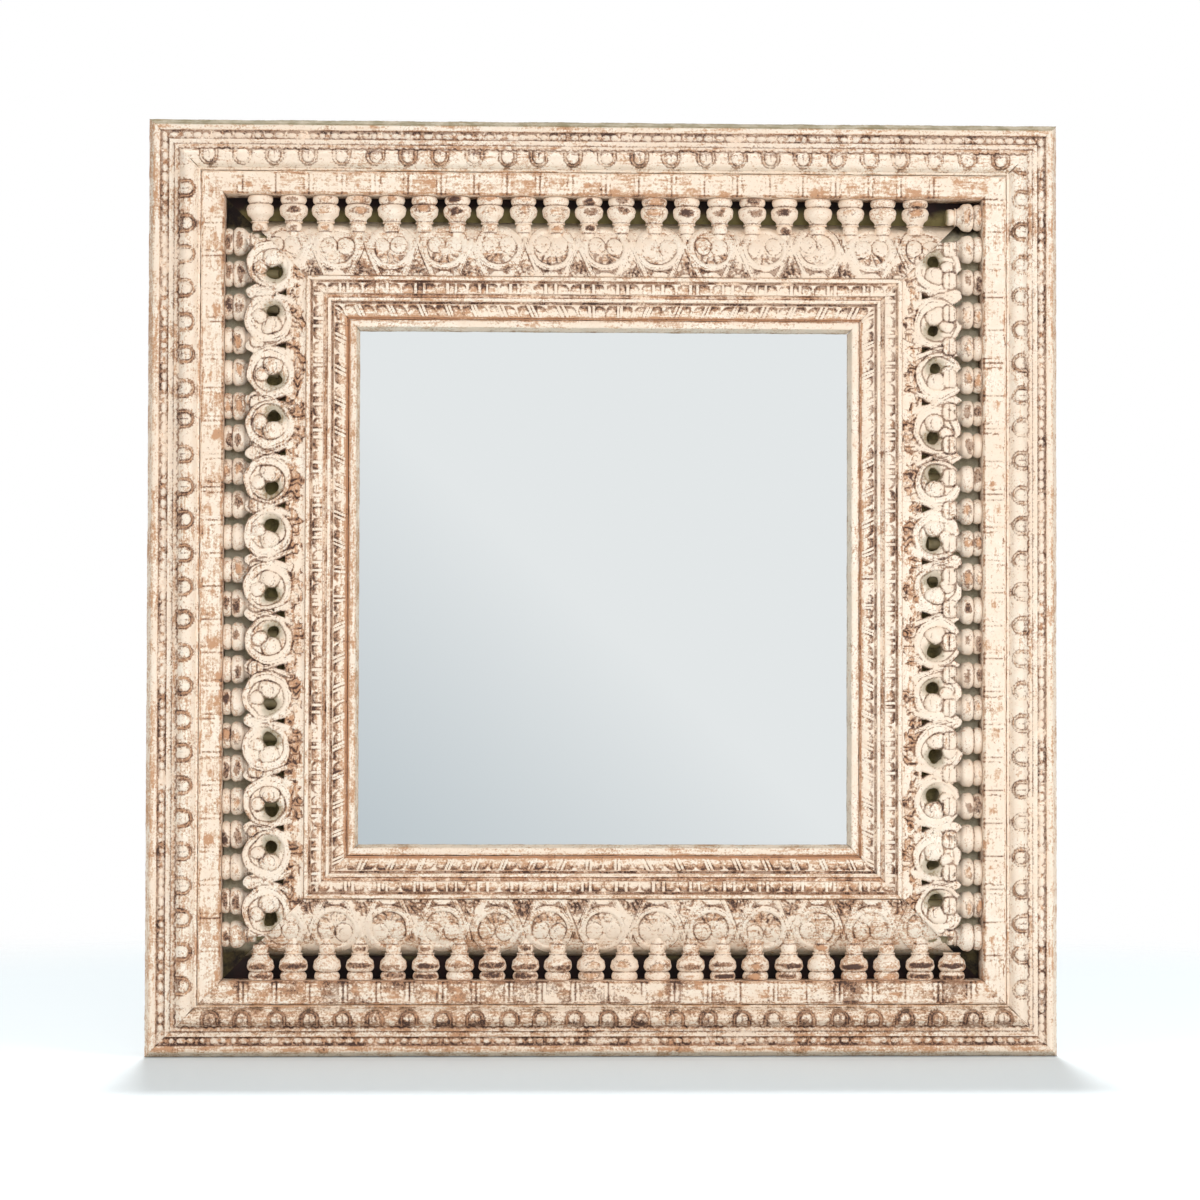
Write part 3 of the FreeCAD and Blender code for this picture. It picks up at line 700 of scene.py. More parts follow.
def carve_blocks(side, along, across):
    """Scribed joints, worn corners and slack faces of the plinth blocks."""
    layout = Layout()
    sizes = layout.sizes
    pitch = sizes.baluster_pitch
    seed = 200 + 10 * side.quarter
    cut = Carving(along, across, seed)
    first = side.joints(pitch)[0]
    number, offset = unit_numbers(along, pitch, first)
    distance = np.abs(offset)
    front = ((across > BLOCK_FACE[0]) & (across < BLOCK_FACE[1])) * 1.0
    real = front * ((number >= 0) & (number <= side.count))
    groove = ramp(distance, sizes.groove_width / 2, 0.3 * sizes.groove_width) * ramp(across, *JOINT_START)
    depth = sizes.groove_depth / MM * random_of(number, seed + 4, 0.45, 1.0)
    cut.add(real * groove * depth, lift=-1.0)
    cut.add(real * groove, rub=0.5, dirt=0.6 + 0.5 * side.inked)
    cut.add(real * hump(distance - 2.6 * MM, 1.2 * MM), lift=0.3, rub=-0.3, dirt=-0.3)
    scribed = real * ramp(across, 56 * MM, 58 * MM)
    scribed = scribed * random_of(number * 2 + (offset > 0), seed + 3, 0.1, 1.0)
    cut.line(distance, 5.0, 0.95, ragged=0.5, where=scribed, lift=-0.6, rub=0.5, dirt=0.5)
    corner = np.hypot(distance, np.maximum(across - layout.block_start, 0))
    cut.add(real * ramp(corner, NOTCH, 0.5 * NOTCH), lift=-0.9, rub=0.3)
    wavy = front * cut.patchy(0.5, 1)
    cut.line(across, 55.0, 1.0, ragged=1.2, where=wavy, lift=-0.35, rub=0.2 + 0.4 * side.tanned, dirt=0.45)
    cut.line(across, 75.4, 1.8, where=front, rub=0.3, dirt=0.15)
    # Painted shadow, with some wear, on the blocks' inner ends beside the joints, here and in the notch
    # below.
    cut.add(ramp(across, 76.2 * MM, 76.8 * MM), rub=0.25, dirt=0.5 * ramp(distance, 8 * MM, 5 * MM))
    cut.add(front, rub=BLOCK_RUB[side.quarter])
    foot = ramp(across, 74.6 * MM, 75.4 * MM) * ramp(distance, 6.5 * MM, 4.5 * MM)
    cut.add(real * foot, lift=-0.5, rub=0.6, dirt=0.4)
    # The bottom's block faces made darker: painted shade with soiling.
    if side.name == "bottom":
        cut.add(front * np.clip(0.7 + 0.5 * cut.slow, 0, 1), dirt=0.55)
    block, inside = unit_numbers(along, pitch, first + pitch / 2)
    carve_patches(cut, front, block, inside, across, seed + 30)
    return cut


# Scroll panels
HOOD_SCROLL_ACROSS = 127.5 * MM
LIP_SCROLL_ACROSS = 122.0 * MM
STEM_HALF = 2.1 * MM
STEM_SPLAY = 15.0 * MM
STEM_START = 119.0 * MM
STEM_BEND = 1.25
HOOD_FINE = 1.05 * MM
HOOD_FAN = 40
LIP_CELL = 1.0 * MM
# Within a ring of a pierced panel: along from its middle, inwards from it, radius
BULB = (7.2 * MM, 3.0 * MM, 9.8 * MM)
LOBE = (-3.0 * MM, -9.0 * MM, 6.5 * MM)
EYE = (-8.0 * MM, 4.0 * MM, 7.0 * MM)
HOOK = (5.0 * MM, 1.5 * MM, 6.0 * MM)
SOLID_CURL = (8.4 * MM, 8.5 * MM, 4.0 * MM)  # radii of a solid panel's curled leaf, its edge and its vein
LEAF_TIP = 33.0 * MM
KNOB = (8.4 * MM, 7.2 * MM, 110.2 * MM)  # half along, half across, place across
KNOB_LINES = ((111.4, 1.0, -0.9, 0.2, 0.6), (105.6, 0.9, -0.7, 0.1, 0.5))
VASE_NOTCH = (12.5 * MM, 10.8 * MM, 94 * MM)
FAN = (8.5 * MM, 15.0 * MM, 113.0 * MM)
BODY_START = 128.0 * MM
D_HOLE_END = 137.0 * MM
TRIANGLE_END = 138.5 * MM
SOLID_SLACK = 0.8 * MM
PIERCED_SLACK = 1.6 * MM
FAR_OUTSIDE = 9 * MM


def scroll_seed(side):
    return 300 + 40 * side.quarter


def scroll_places(along, across, scroll_across, seed, slack):
    """Number of the nearest scroll and the place within it, which is askew by up to the slack."""
    number, offset = unit_numbers(along, bpy.context.scene.mirror_sizes.scroll_pitch)
    offset = offset + slack * Lattice(seed + 6, 10 * MM)(along, across)
    offset = offset - random_of(number, seed + 4, -slack, slack)
    inward = across - scroll_across - random_of(number, seed + 5, -slack, slack)
    inward = inward + 0.7 * slack * Lattice(seed + 9, 11 * MM)(along, across)
    return number, offset, inward


def stem_distance(offset, across, lean, panel_end):
    """Distance from a stem that leaves the crossing and leans along the panel as it runs inwards."""
    length_inwards = panel_end - STEM_START
    run = np.clip((across - STEM_START) / length_inwards, -0.35, 1)
    place = lean * STEM_SPLAY * np.sign(run) * np.abs(run) ** STEM_BEND
    slope = STEM_BEND * STEM_SPLAY / length_inwards * np.abs(run) ** (STEM_BEND - 1)
    return (offset - place) / np.sqrt(1 + slope ** 2)


def carve_band(cut, where, distance, half, rise, dark):
    """A raised band with a cut line along each edge and a lighter one along its middle."""
    cut.add(where * ramp(np.abs(distance), half + 0.5 * MM, half - 0.8 * MM), lift=rise, rub=-0.1)
    edges = hump(np.abs(distance) - half - 0.4 * MM, 1.0 * MM) * np.clip(0.65 + 0.9 * cut.slow, 0.1, 1)
    cut.add(where * edges, lift=-0.6, rub=0.3, dirt=dark)
    cut.add(where * hump(distance - 0.3 * half, 0.8 * MM), lift=-0.5, rub=0.2, dirt=0.6 * dark)


def carve_solid_scroll(cut, where, offset, inward, angle, number, seed):
    """Two curled leaves and a lower leaf inside the ring of a solid panel's scroll."""
    for i, way in enumerate((-1, 1)):
        middle = way * random_of(number * 2 + i, seed, 7.6 * MM, 9.6 * MM)
        high = random_of(number * 2 + i, seed + 2, 0.0 * MM, 4.5 * MM)
        curl = np.hypot(offset - middle, (inward + high) * 0.9) + 0.5 * MM * cut.ragged
        leaf_radius, edge_radius, vein_radius = SOLID_CURL
        cut.add(where * dome(curl, leaf_radius), lift=0.9, rub=-0.1)
        edge = hump(curl - edge_radius, 1.05 * MM) * random_of(number * 2 + i, seed + 5, 0.4, 1.1)
        cut.add(where * edge * ramp(inward, 10 * MM, 6 * MM), lift=-0.8, rub=0.3, dirt=0.45)
        vein = hump(curl - vein_radius, 0.9 * MM) * (offset * way < middle * way) * (inward > -high)
        cut.add(where * vein, lift=-0.6, rub=0.3, dirt=0.4)
    lower = where * ramp(inward + 1.5 * MM * cut.ragged, 5.0 * MM, 9.0 * MM)
    leaf = ribs(angle + 0.2 * cut.ragged, 12)
    strength = random_of(number, seed + 6, 0.3, 1.1)
    cut.add(lower * strength, rub=0.35, dirt=0.2)
    cut.add(lower * (1 - leaf) ** 2 * strength, lift=-1.0, dirt=0.9)
    cut.add(lower * leaf, lift=0.3)


def carve_solid_leaves(cut, free, offset, from_cross, inward, edge):
    """Leaves between the stems, and a half-round shell under each scroll, along a solid panel's edge."""
    leafy = free * ramp(inward, 10 * MM, 17 * MM)
    middle = leafy * ramp(np.abs(from_cross), 15 * MM, 11 * MM)
    leaf = ribs(np.arctan2(from_cross, edge + 6 * MM) + 0.3 * cut.ragged, 14)
    blot = np.clip(0.7 + 0.7 * cut.ragged, 0.1, 1.3)
    cut.add(middle, lift=-0.8, rub=0.45, dirt=0.35)
    cut.add(middle * leaf, lift=1.0, rub=-0.2)
    cut.add(middle * (1 - leaf) ** 2 * blot, lift=-0.6, dirt=1.0)
    arch = np.hypot(from_cross, edge + 2.0 * MM)
    for radius, half in ((10, 1.0), (6.5, 0.9)):
        cut.line(arch, radius, half, where=middle, lift=-0.6, dirt=0.5)
    cut.add(middle * ramp(arch, 5.8 * MM, 4.8 * MM), lift=0.8, rub=-0.4, dirt=-0.5)
    under = free * ramp(np.abs(offset), 14 * MM, 11 * MM) * ramp(inward, 19.5 * MM, 22 * MM)
    cut.add(under, lift=-0.6, rub=0.3, dirt=0.8)
    shell = np.hypot(offset / (9.5 * MM), (edge + 0.5 * MM) / (6.0 * MM)) + 0.1 * cut.ragged
    cut.add(under * ramp(shell, 1.08, 0.88), lift=1.2, rub=-0.5, dirt=-0.65)


def from_middle(offset, inward, flip, part):
    """Distance from the middle of a part of a pierced panel's ring, whose sides are swapped by the flip."""
    return np.hypot(offset - flip * part[0], inward - part[1])


def carve_pierced_ring(cut, offset, inward, radius, flip, rim_inside):
    """The round bulb and the smaller lobe inside each ring of a pierced panel."""
    bulb = from_middle(offset, inward, flip, BULB) + 0.4 * MM * cut.ragged
    lobe = from_middle(offset, inward, flip, LOBE)
    eye = from_middle(offset, inward, flip, EYE)
    ring_inside = ramp(radius, rim_inside + 0.7 * MM, rim_inside - 0.7 * MM)
    # The ring's sunken floor gets painted olive shade that deepens towards the eye.
    depth = ring_inside * (0.25 + 0.75 * ramp(eye, 15 * MM, 8 * MM))
    for distance, size, rise in ((bulb, BULB[2], 4.0), (lobe, LOBE[2], 2.6)):
        bridge = ramp(distance, size + 6 * MM, size + 2 * MM) * ramp(radius, 11 * MM, 14.5 * MM)
        depth = depth * (1 - np.maximum(ramp(distance, size + 0.4 * MM, size - 0.6 * MM), bridge))
        cut.add(ring_inside * dome(distance, size), lift=rise, rub=-0.1)
        cut.add(hump(distance - size - 0.6 * MM, 1.1 * MM) * ring_inside, rub=0.2, dirt=0.45)
    cut.add(depth, lift=-2.2, dirt=0.1, shade=0.6)
    hook = hump(from_middle(offset, inward, flip, HOOK) - HOOK[2], 0.9 * MM)
    cut.add(hook * (bulb < BULB[2]) * (offset * flip < 9 * MM), lift=-0.7, dirt=0.6)


def carve_pierced_leaves(cut, free, from_cross, inward, radius, angle):
    """The leaves that run inwards from the rings of a pierced panel."""
    leafy = free * ramp(inward, 8 * MM, 15 * MM)
    leaf = ribs(angle + 0.22 * cut.ragged + 0.1 * cut.slow, 25)
    tip = radius - LEAF_TIP - 3.0 * MM * leaf - 3.0 * MM * cut.ragged
    blot = np.clip(0.8 + 0.8 * cut.ragged, 0.2, 1.5)
    veins = (1 - leaf) ** 2 * ramp(tip, 1.5 * MM, -0.5 * MM) * blot
    cut.add(leafy * ramp(tip, 2.0 * MM, -1.0 * MM), rub=0.5, dirt=0.15)
    cut.add(leafy * veins, lift=-1.3, rub=0.2, dirt=0.9)
    cut.add(leafy * hump(tip, 1.0 * MM) * blot, lift=-0.6, rub=0.2, dirt=0.6)
    cut.add(leafy * leaf * ramp(tip, 0.5 * MM, -2 * MM), lift=0.6)
    sweep = np.sin((radius + 2.5 * MM * cut.slow) / (2.6 * MM)) ** 2 * ramp(tip, -1.0 * MM, 2.0 * MM)
    cut.add(leafy * sweep * cut.patchy(0.3, 1), lift=-0.5, rub=0.25, dirt=0.3)
    spot = np.hypot(from_cross + 2 * MM * cut.quick, inward - 27 * MM)
    cut.add(leafy * hump(spot, 5 * MM), lift=0.3, rub=0.45)


def carve_scrolls(along, across, scroll_across, panel_end, seed, pierced):
    """Rims, crossed stems, inner curls and leaves that repeat along a scroll panel."""
    sizes = bpy.context.scene.mirror_sizes
    pitch = sizes.scroll_pitch
    cut = Carving(along, across, seed)
    slack = PIERCED_SLACK if pierced else SOLID_SLACK
    number, offset, inward = scroll_places(along, across, scroll_across, seed, slack)
    flip = every_other(number)
    radius = np.hypot(offset, inward)
    angle = np.arctan2(offset, inward)
    rim_inside = sizes.scroll_radius - sizes.rim_width
    if pierced:
        rim_inside = rim_inside - 2.6 * MM * flip * offset / np.maximum(radius, MM)
    rim_half = (sizes.scroll_radius - rim_inside) / 2
    _, from_cross = unit_numbers(along, pitch, pitch / 2)
    outside = ramp(radius, sizes.scroll_radius - 1.8 * MM, sizes.scroll_radius)
    stems = [stem_distance(from_cross, across, lean, panel_end) for lean in (-1, 1)]
    reach = ramp(inward, -16 * MM, -8 * MM) * outside
    if pierced:
        reach = reach * ramp(inward, 27 * MM, 20 * MM)
    near = [ramp(np.abs(stem), STEM_HALF + 1.8 * MM, STEM_HALF + 0.9 * MM) * reach for stem in stems]
    beside = 1 - np.clip(near[0] + near[1], 0, 1)
    free = outside * beside
    on_ring = ramp(np.abs(offset), pitch / 2 + 1 * MM, pitch / 2 - 2.5 * MM) * beside
    dark = 0.7 if pierced else 0.2 + 0.5 * ramp(inward, -10 * MM, 14 * MM)
    carve_band(cut, on_ring, radius - rim_inside - rim_half, rim_half - 0.4 * MM, 1.2, dark)
    for stem, where in zip(stems, near):
        carve_band(cut, where, stem, STEM_HALF, 1.0, dark)
    fan = free * ramp(inward, -2 * MM, -6 * MM)
    fan_cuts = 1 - ribs(np.arctan2(from_cross, inward + 26 * MM), 11)
    cut.add(fan, lift=-0.3)
    cut.add(fan * fan_cuts, lift=-0.5, rub=0.1, dirt=0.5 * dark)
    if pierced:
        carve_pierced_ring(cut, offset, inward, radius, flip, rim_inside)
        carve_pierced_leaves(cut, free, from_cross, inward, radius, angle)
    else:
        inside = ramp(radius, rim_inside + 0.2 * MM, rim_inside - 1.0 * MM)
        cut.add(inside, lift=-0.3)
        carve_solid_scroll(cut, inside, offset, inward, angle, number, seed + 10)
        carve_solid_leaves(cut, free, offset, from_cross, inward, panel_end - across)
    return cut


def carve_hood(side, along, across):
    """Scrolls of a solid panel, which turns olive where it rolls away from the light."""
    layout = Layout()
    cut = carve_scrolls(along, across, HOOD_SCROLL_ACROSS, layout.panel_end, scroll_seed(side), False)
    start = layout.panel_end - layout.sizes.hood_reach
    front = ramp(across, layout.panel_end - 0.3 * MM, layout.panel_end - 1.5 * MM)
    foot = ramp(across, start + 0.5 * MM, start + 5 * MM)
    cut.lift = cut.lift * front * foot
    # Painted olive shade on the hood's foot, which rolls away from the light.
    cut.add(ramp(across, start + 15 * MM + 3 * MM * cut.ragged, start + 2 * MM), rub=-0.3, shade=0.6)
    return cut


def hood_rows(layout):
    """Section of a solid panel: a quarter oval, then straight down beside the inner moulding."""
    sizes = layout.sizes
    tall = layout.panel_front - sizes.hood_low
    count = int(1.4 * sizes.hood_reach / HOOD_FINE)
    angles = np.arange(count + 1) / count * math.pi / 2
    rolled = np.stack([layout.panel_end - sizes.hood_reach * np.cos(angles),
                       sizes.hood_low + tall * np.sin(angles)], axis=1)
    corners = [(layout.panel_end, layout.inner_front), (layout.inner_rail_start, layout.inner_front),
               (layout.inner_rail_start, sizes.hood_low)]
    return np.concatenate([rolled, corners])


def oval(offset, inward, part):
    """Place in an oval as a share of its half sizes, 1 at its edge."""
    return np.hypot(offset / part[0], inward / part[1])


def knob_distance(side, along, across):
    """Distances from the nearest baluster's knob and vase notch, below 0 in them, and along from its axis."""
    pitch = bpy.context.scene.mirror_sizes.baluster_pitch
    number, offset = unit_numbers(along, pitch, side.stations(pitch)[0][0])
    real = (number >= 0) & (number < side.count)
    square = [np.abs(offset / KNOB[0]) ** 1.5, np.abs((across - KNOB[2]) / KNOB[1]) ** 1.5]
    knob = (np.hypot(*square) ** (1 / 1.5) - 1) * KNOB[1]
    notch = (oval(offset, across - VASE_NOTCH[2], VASE_NOTCH) - 1) * VASE_NOTCH[1]
    return np.where(real, knob, FAR_OUTSIDE), np.where(real, notch, FAR_OUTSIDE), offset


def carve_knobs(cut, side, along, across, radius):
    """The balusters' turned ends, over the rings of the right panel and between those of the left one."""
    outside, _, offset = knob_distance(side, along, across)
    shown = 1.0 if side.knobs_over else ramp(radius, 23.5 * MM, 25.5 * MM)
    knob = ramp(outside, 0.6 * MM, -0.6 * MM) * shown
    cut.lift = cut.lift * (1 - knob)
    cut.dirt = cut.dirt * (1 - knob)
    cut.shade = cut.shade * (1 - knob)
    cut.rub = cut.rub * (1 - 0.7 * knob)
    cut.add(knob * dome(offset, 9.5 * MM), lift=3.0)
    cut.line(outside, 0.5, 1.1, where=shown, lift=-0.6, rub=0.25, dirt=0.6)
    for place, half, lift, rub, dirt in KNOB_LINES:
        cut.line(across, place, half, where=knob, lift=lift, rub=rub, dirt=dirt)


def least(*fields):
    """The smallest of several fields at each point, which is inside only where all of them are."""
    return np.minimum.reduce(np.broadcast_arrays(*fields))


def fret_field(side, along, across, layout):
    """How far each point lies inside the pierced panel's outline, below 0 in its holes."""
    pitch = layout.sizes.scroll_pitch
    seed = scroll_seed(side)
    number, offset, inward = scroll_places(along, across, LIP_SCROLL_ACROSS, seed, PIERCED_SLACK)
    flip = every_other(number)
    ragged = Lattice(seed + 7, 6 * MM)(along, across)
    _, from_cross = unit_numbers(along, pitch, pitch / 2)
    from_cross = from_cross + 1.2 * MM * ragged
    fan = (1 - oval(from_cross, across - FAN[2], FAN)) * FAN[0]
    whole = math.floor((side.half - LIP_SCROLL_ACROSS) / pitch - 0.45) + 0.5
    solid = np.maximum(fan, layout.sizes.scroll_radius - np.hypot(offset, inward))
    solid = np.minimum(solid, whole * pitch - np.abs(along))
    solid = np.maximum(solid, across - BODY_START)
    bulb = BULB[2] - from_middle(offset, inward, flip, BULB)
    if side.knobs_over:
        knob, notch, _ = knob_distance(side, along, across)
        solid = np.minimum(solid, notch)
        bulb = np.maximum(bulb, -knob)
    eye = EYE[2] * random_of(number, seed + 8, 0.8, 1.1) - from_middle(offset, inward, flip, EYE)
    hole = least(eye + 0.8 * MM * ragged, D_HOLE_END - across, -bulb)
    stems = [np.abs(stem_distance(from_cross, across, lean, layout.panel_end)) for lean in (-1, 1)]
    run = np.clip((across - STEM_START) / (layout.panel_end - STEM_START), 0, 1)
    widest = STEM_SPLAY * run ** STEM_BEND
    triangle = least(widest - np.abs(from_cross), np.minimum(*stems) - STEM_HALF - 0.4 * MM,
                     across - BODY_START + 3 * MM, TRIANGLE_END - across)
    mitre = (side.half - across - np.abs(along)) / math.sqrt(2)
    return least(solid, -hole, -triangle, mitre)


def fret_places(side, layout):
    """Column and row places of the sheet that a pierced panel is cut from."""
    start = LIP_SCROLL_ACROSS - layout.sizes.scroll_radius - 1.5 * LIP_CELL
    wide = side.half - start
    columns = int(2 * wide / LIP_CELL)
    rows = int((layout.panel_end - start) / LIP_CELL)
    return np.linspace(-wide, wide, columns + 1), np.linspace(start, layout.panel_end, rows + 1)


def moved_to_outline(field, along_line, across_line):
    """The sheet's places, with those near an edge moved onto it, and which of them are near one."""
    across, along = np.meshgrid(across_line, along_line, indexing="ij")
    slope_across, slope_along = np.gradient(field, across_line, along_line)
    steep = np.maximum(slope_across ** 2 + slope_along ** 2, 0.05)
    near = np.abs(field) < 0.75 * LIP_CELL
    along = np.where(near, along - field * slope_along / steep, along)
    across = np.where(near, across - field * slope_across / steep, across)
    return along, np.minimum(across, across_line[-1]), near


def fret_sheet(side, layout):
    """A flat sheet whose points near the pierced outline lie on it, with what is carved at each point."""
    along_line, across_line = fret_places(side, layout)
    mesh, column, row = flat_grid("carved_scrolls_" + side.name, len(along_line) - 1, len(across_line) - 1)
    across, along = np.meshgrid(across_line, along_line, indexing="ij")
    field = fret_field(side, along, across, layout)
    along, across, near = moved_to_outline(field, along_line, across_line)
    seed = scroll_seed(side)
    cut = carve_scrolls(along, across, LIP_SCROLL_ACROSS, layout.panel_end, seed, True)
    _, offset, inward = scroll_places(along, across, LIP_SCROLL_ACROSS, seed, PIERCED_SLACK)
    carve_knobs(cut, side, along, across, np.hypot(offset, inward))
    lift = cut.base + cut.lift - 1.6 * MM * ramp(field, 1.9 * MM, 0) ** 2
    below, above = hollows(lift, LIP_CELL, LIP_CELL)
    hollow = cut.hollow(side, below) + 0.15 * ramp(field, 1.2 * MM, 0)
    grid = {"lift": lift, "hollow": hollow, "rub": cut.rub + 0.15 * above + side.tone, "shade": cut.shade,
            "outside": np.where(near, 0.0, np.minimum(field, 0)) / MM, "field": field / MM}
    write_points(mesh, np.stack([along, across, np.zeros(along.shape)], axis=-1)[row, column])
    for key, values in grid.items():
        store(mesh, key, values[row, column])
    return mesh


def in_hole(face, outside, field):
    """Whether a face of the sheet lies in a hole: a corner well outside, or most of it."""
    return any(vert[outside] < 0 for vert in face.verts) or sum(vert[field] for vert in face.verts) < 0


def pierce(mesh):
    """Takes the faces in the holes out of the sheet and gives it a front and a back layer."""
    shape = shape_of(mesh)
    outside = shape.verts.layers.float["outside"]
    field = shape.verts.layers.float["field"]
    gone = [face for face in shape.faces if in_hole(face, outside, field)]
    bmesh.ops.delete(shape, geom=gone, context="FACES")
    bmesh.ops.remove_doubles(shape, verts=shape.verts, dist=0.2 * MM)
    bmesh.ops.dissolve_degenerate(shape, edges=shape.edges, dist=0.02 * MM)
    loose = [vert for vert in shape.verts if not vert.link_faces]
    bmesh.ops.delete(shape, geom=loose, context="VERTS")
    made = bmesh.ops.extrude_face_region(shape, geom=shape.faces[:])
    front = [item for item in made["geom"] if isinstance(item, bmesh.types.BMVert)]
    bmesh.ops.translate(shape, verts=front, vec=(0, 0, 1))
    put_back(shape, mesh)


def pierced_panel(side):
    """A side panel: a carved fret whose back steps down onto the inner rail."""
    layout = Layout()
    sizes = layout.sizes
    mesh = fret_sheet(side, layout)
    pierce(mesh)
    along, across, layer = read_points(mesh).T
    fall = sizes.lip_fall * (layout.panel_end - across) / sizes.hood_reach
    front = layout.panel_front - fall + fetch(mesh, "lift")
    on_rail = ramp(across, layout.inner_rail_start - 0.5 * MM, layout.inner_rail_start)
    lip_back = layout.panel_front - sizes.lip_fall - sizes.lip_thickness
    back = lip_back * (1 - on_rail) + layout.inner_front * on_rail
    write_points(mesh, side.place(along, across, np.where(layer > 0.5, front, back)))
    # The back layer gets painted shade: darker and olive.
    store(mesh, "hollow", np.where(layer > 0.5, fetch(mesh, "hollow"), 0.5))
    store(mesh, "shade", np.where(layer > 0.5, fetch(mesh, "shade"), 0.2))
    face_outwards(mesh)
    for key in ("lift", "outside", "field"):
        mesh.attributes.remove(mesh.attributes[key])
    return mesh


# Inner moulding. A row of arches: where it starts and ends inwards, its pitch, how far its bars stand apart
INNER_FINE = 0.9 * MM
INNER_STEP = 1.0 * MM
INNER_COARSE = 12 * MM
INNER_FAN = 40
ARCHES = (7.0 * MM, 18.3 * MM, 34.5 * MM, 4.2 * MM)
LEAVES = (28.0 * MM, 41.3 * MM, 29.2 * MM, 2.0 * MM)
ARCH_CORNER = 5.0 * MM
BAR_HALF = 1.25 * MM
LEAF_SLANT = 0.42
ROW_SLACK = 0.8 * MM
BEAD_COARSE = 6 * MM
BEAD_STEP = 3 * MM
BEAD_FAN = 6
BEAD_SHADE = (7.2 * MM, 8.4 * MM)


def carve_arcade(cut, row, inward, offset, number, seed):
    """A row of round-shouldered arches, deep and with painted shade under their crowns, running out inwards.
    """
    start, end, pitch, bars_apart = row
    band = between(inward, (start - 0.2 * MM, start + 0.3 * MM), (end - 0.4 * MM, end))
    run = end - start
    inward = inward - start - ROW_SLACK
    wide = np.abs(offset) - (pitch / 2 - BAR_HALF - ARCH_CORNER)
    high = ARCH_CORNER - inward
    rounded = np.hypot(np.maximum(wide, 0), np.maximum(high, 0))
    outline = rounded + np.minimum(np.maximum(wide, high), 0) - ARCH_CORNER
    inside = band * ramp(outline, 0.5 * MM, -0.6 * MM)
    deep = 1 - 0.8 * ramp(inward, 0, run)
    apart = np.abs(np.abs(offset) - bars_apart * random_of(number, seed + 1, 0.8, 1.2))
    bars = ramp(apart, BAR_HALF + 0.5 * MM, BAR_HALF - 0.3 * MM)
    strength = random_of(number, seed + 2, 0.75, 1.15)
    cut.add(inside * deep * (1 - bars) * strength, lift=-1.6, rub=0.15)
    # Painted shade with soiling under each crown, fading inwards.
    cut.add(inside * (1 - bars) * ramp(inward, 0.65 * run, 0) * strength, rub=0.35, dirt=0.85)
    cut.add(band * hump(outline - 0.3 * MM, 0.9 * MM) * strength, rub=0.2, dirt=0.5)
    cut.add(inside * bars, lift=0.3, rub=-0.35, dirt=-0.5)
    cut.add(inside * hump(apart - BAR_HALF - 0.6 * MM, 0.7 * MM) * strength, rub=0.25, dirt=0.55)
    cut.add(band * ramp(outline, 0.6 * MM, 1.2 * MM), rub=-0.25, dirt=-0.2)


def carve_inner(side, along, across):
    """Arches and slanted leaves of the inner moulding."""
    layout = Layout()
    seed = 500 + 20 * side.quarter
    cut = Carving(along, across, seed)
    inward = across - layout.panel_end
    stretch = along + 5 * MM * Lattice(seed + 3, 90 * MM)(along, along * 0)
    number, offset = unit_numbers(stretch, ARCHES[2], ARCHES[2] / 2)
    offset = offset - random_of(number, seed + 4, -ROW_SLACK, ROW_SLACK)
    carve_arcade(cut, ARCHES, inward, offset, number, seed + 4)
    lean = (inward - LEAVES[0]) * LEAF_SLANT * ramp(np.abs(along), 6 * MM, 40 * MM)
    number, offset = unit_numbers(np.abs(stretch) + lean, LEAVES[2], LEAVES[2] / 2)
    number = number * 2 + (along > 0)
    offset = offset - random_of(number, seed + 7, -ROW_SLACK, ROW_SLACK)
    carve_arcade(cut, LEAVES, inward, offset, number, seed + 7)
    for place, half, rub, dirt in ((1.2, 0.8, 0.3, 0.4), (5.8, 1.2, 0.35, 0.2), (19.8, 1.7, 0.45, 0.0),
                                   (21.8, 0.8, 0.3, 0.4), (26.7, 1.0, 0.25, 0.2 + 0.3 * side.inked),
                                   (40.6, 1.5, 0.5, -0.1), (42.0, 1.3, 0.55 + 0.2 * side.tanned, 0.1)):
        cut.line(inward, place, half, ragged=0.3, rub=rub, dirt=dirt)
    if side.name != "right":
        cut.add(inward > 0, rub=0.1)
    return cut


def carve_sight_bead(side, along, across):
    """Only the slack of a hand-planed bead, more rubbed at the left, with painted olive shade at the glass.
    """
    layout = Layout()
    cut = Carving(along, across, 700 + 10 * side.quarter)
    inward = across - layout.bead_start
    rubbed = side.name == "left"
    cut.line(inward, 0.5, 1.5, rub=0.6 if rubbed else 0.3, dirt=0.2)
    cut.add(inward > 0, rub=0.25 * rubbed)
    # Painted olive shade on the slope down to the glass.
    cut.add(ramp(inward, *BEAD_SHADE), shade=0.35)
    return cut


# Balusters
TURNED_STEPS = 26
TURNED_FINE = 1.3 * MM
TENON_LENGTH = 3.0 * MM
# Where the balusters of a pierced side pass behind the panel and get painted olive shade
SHADED_BEHIND_PANEL = (108 * MM, 113 * MM)


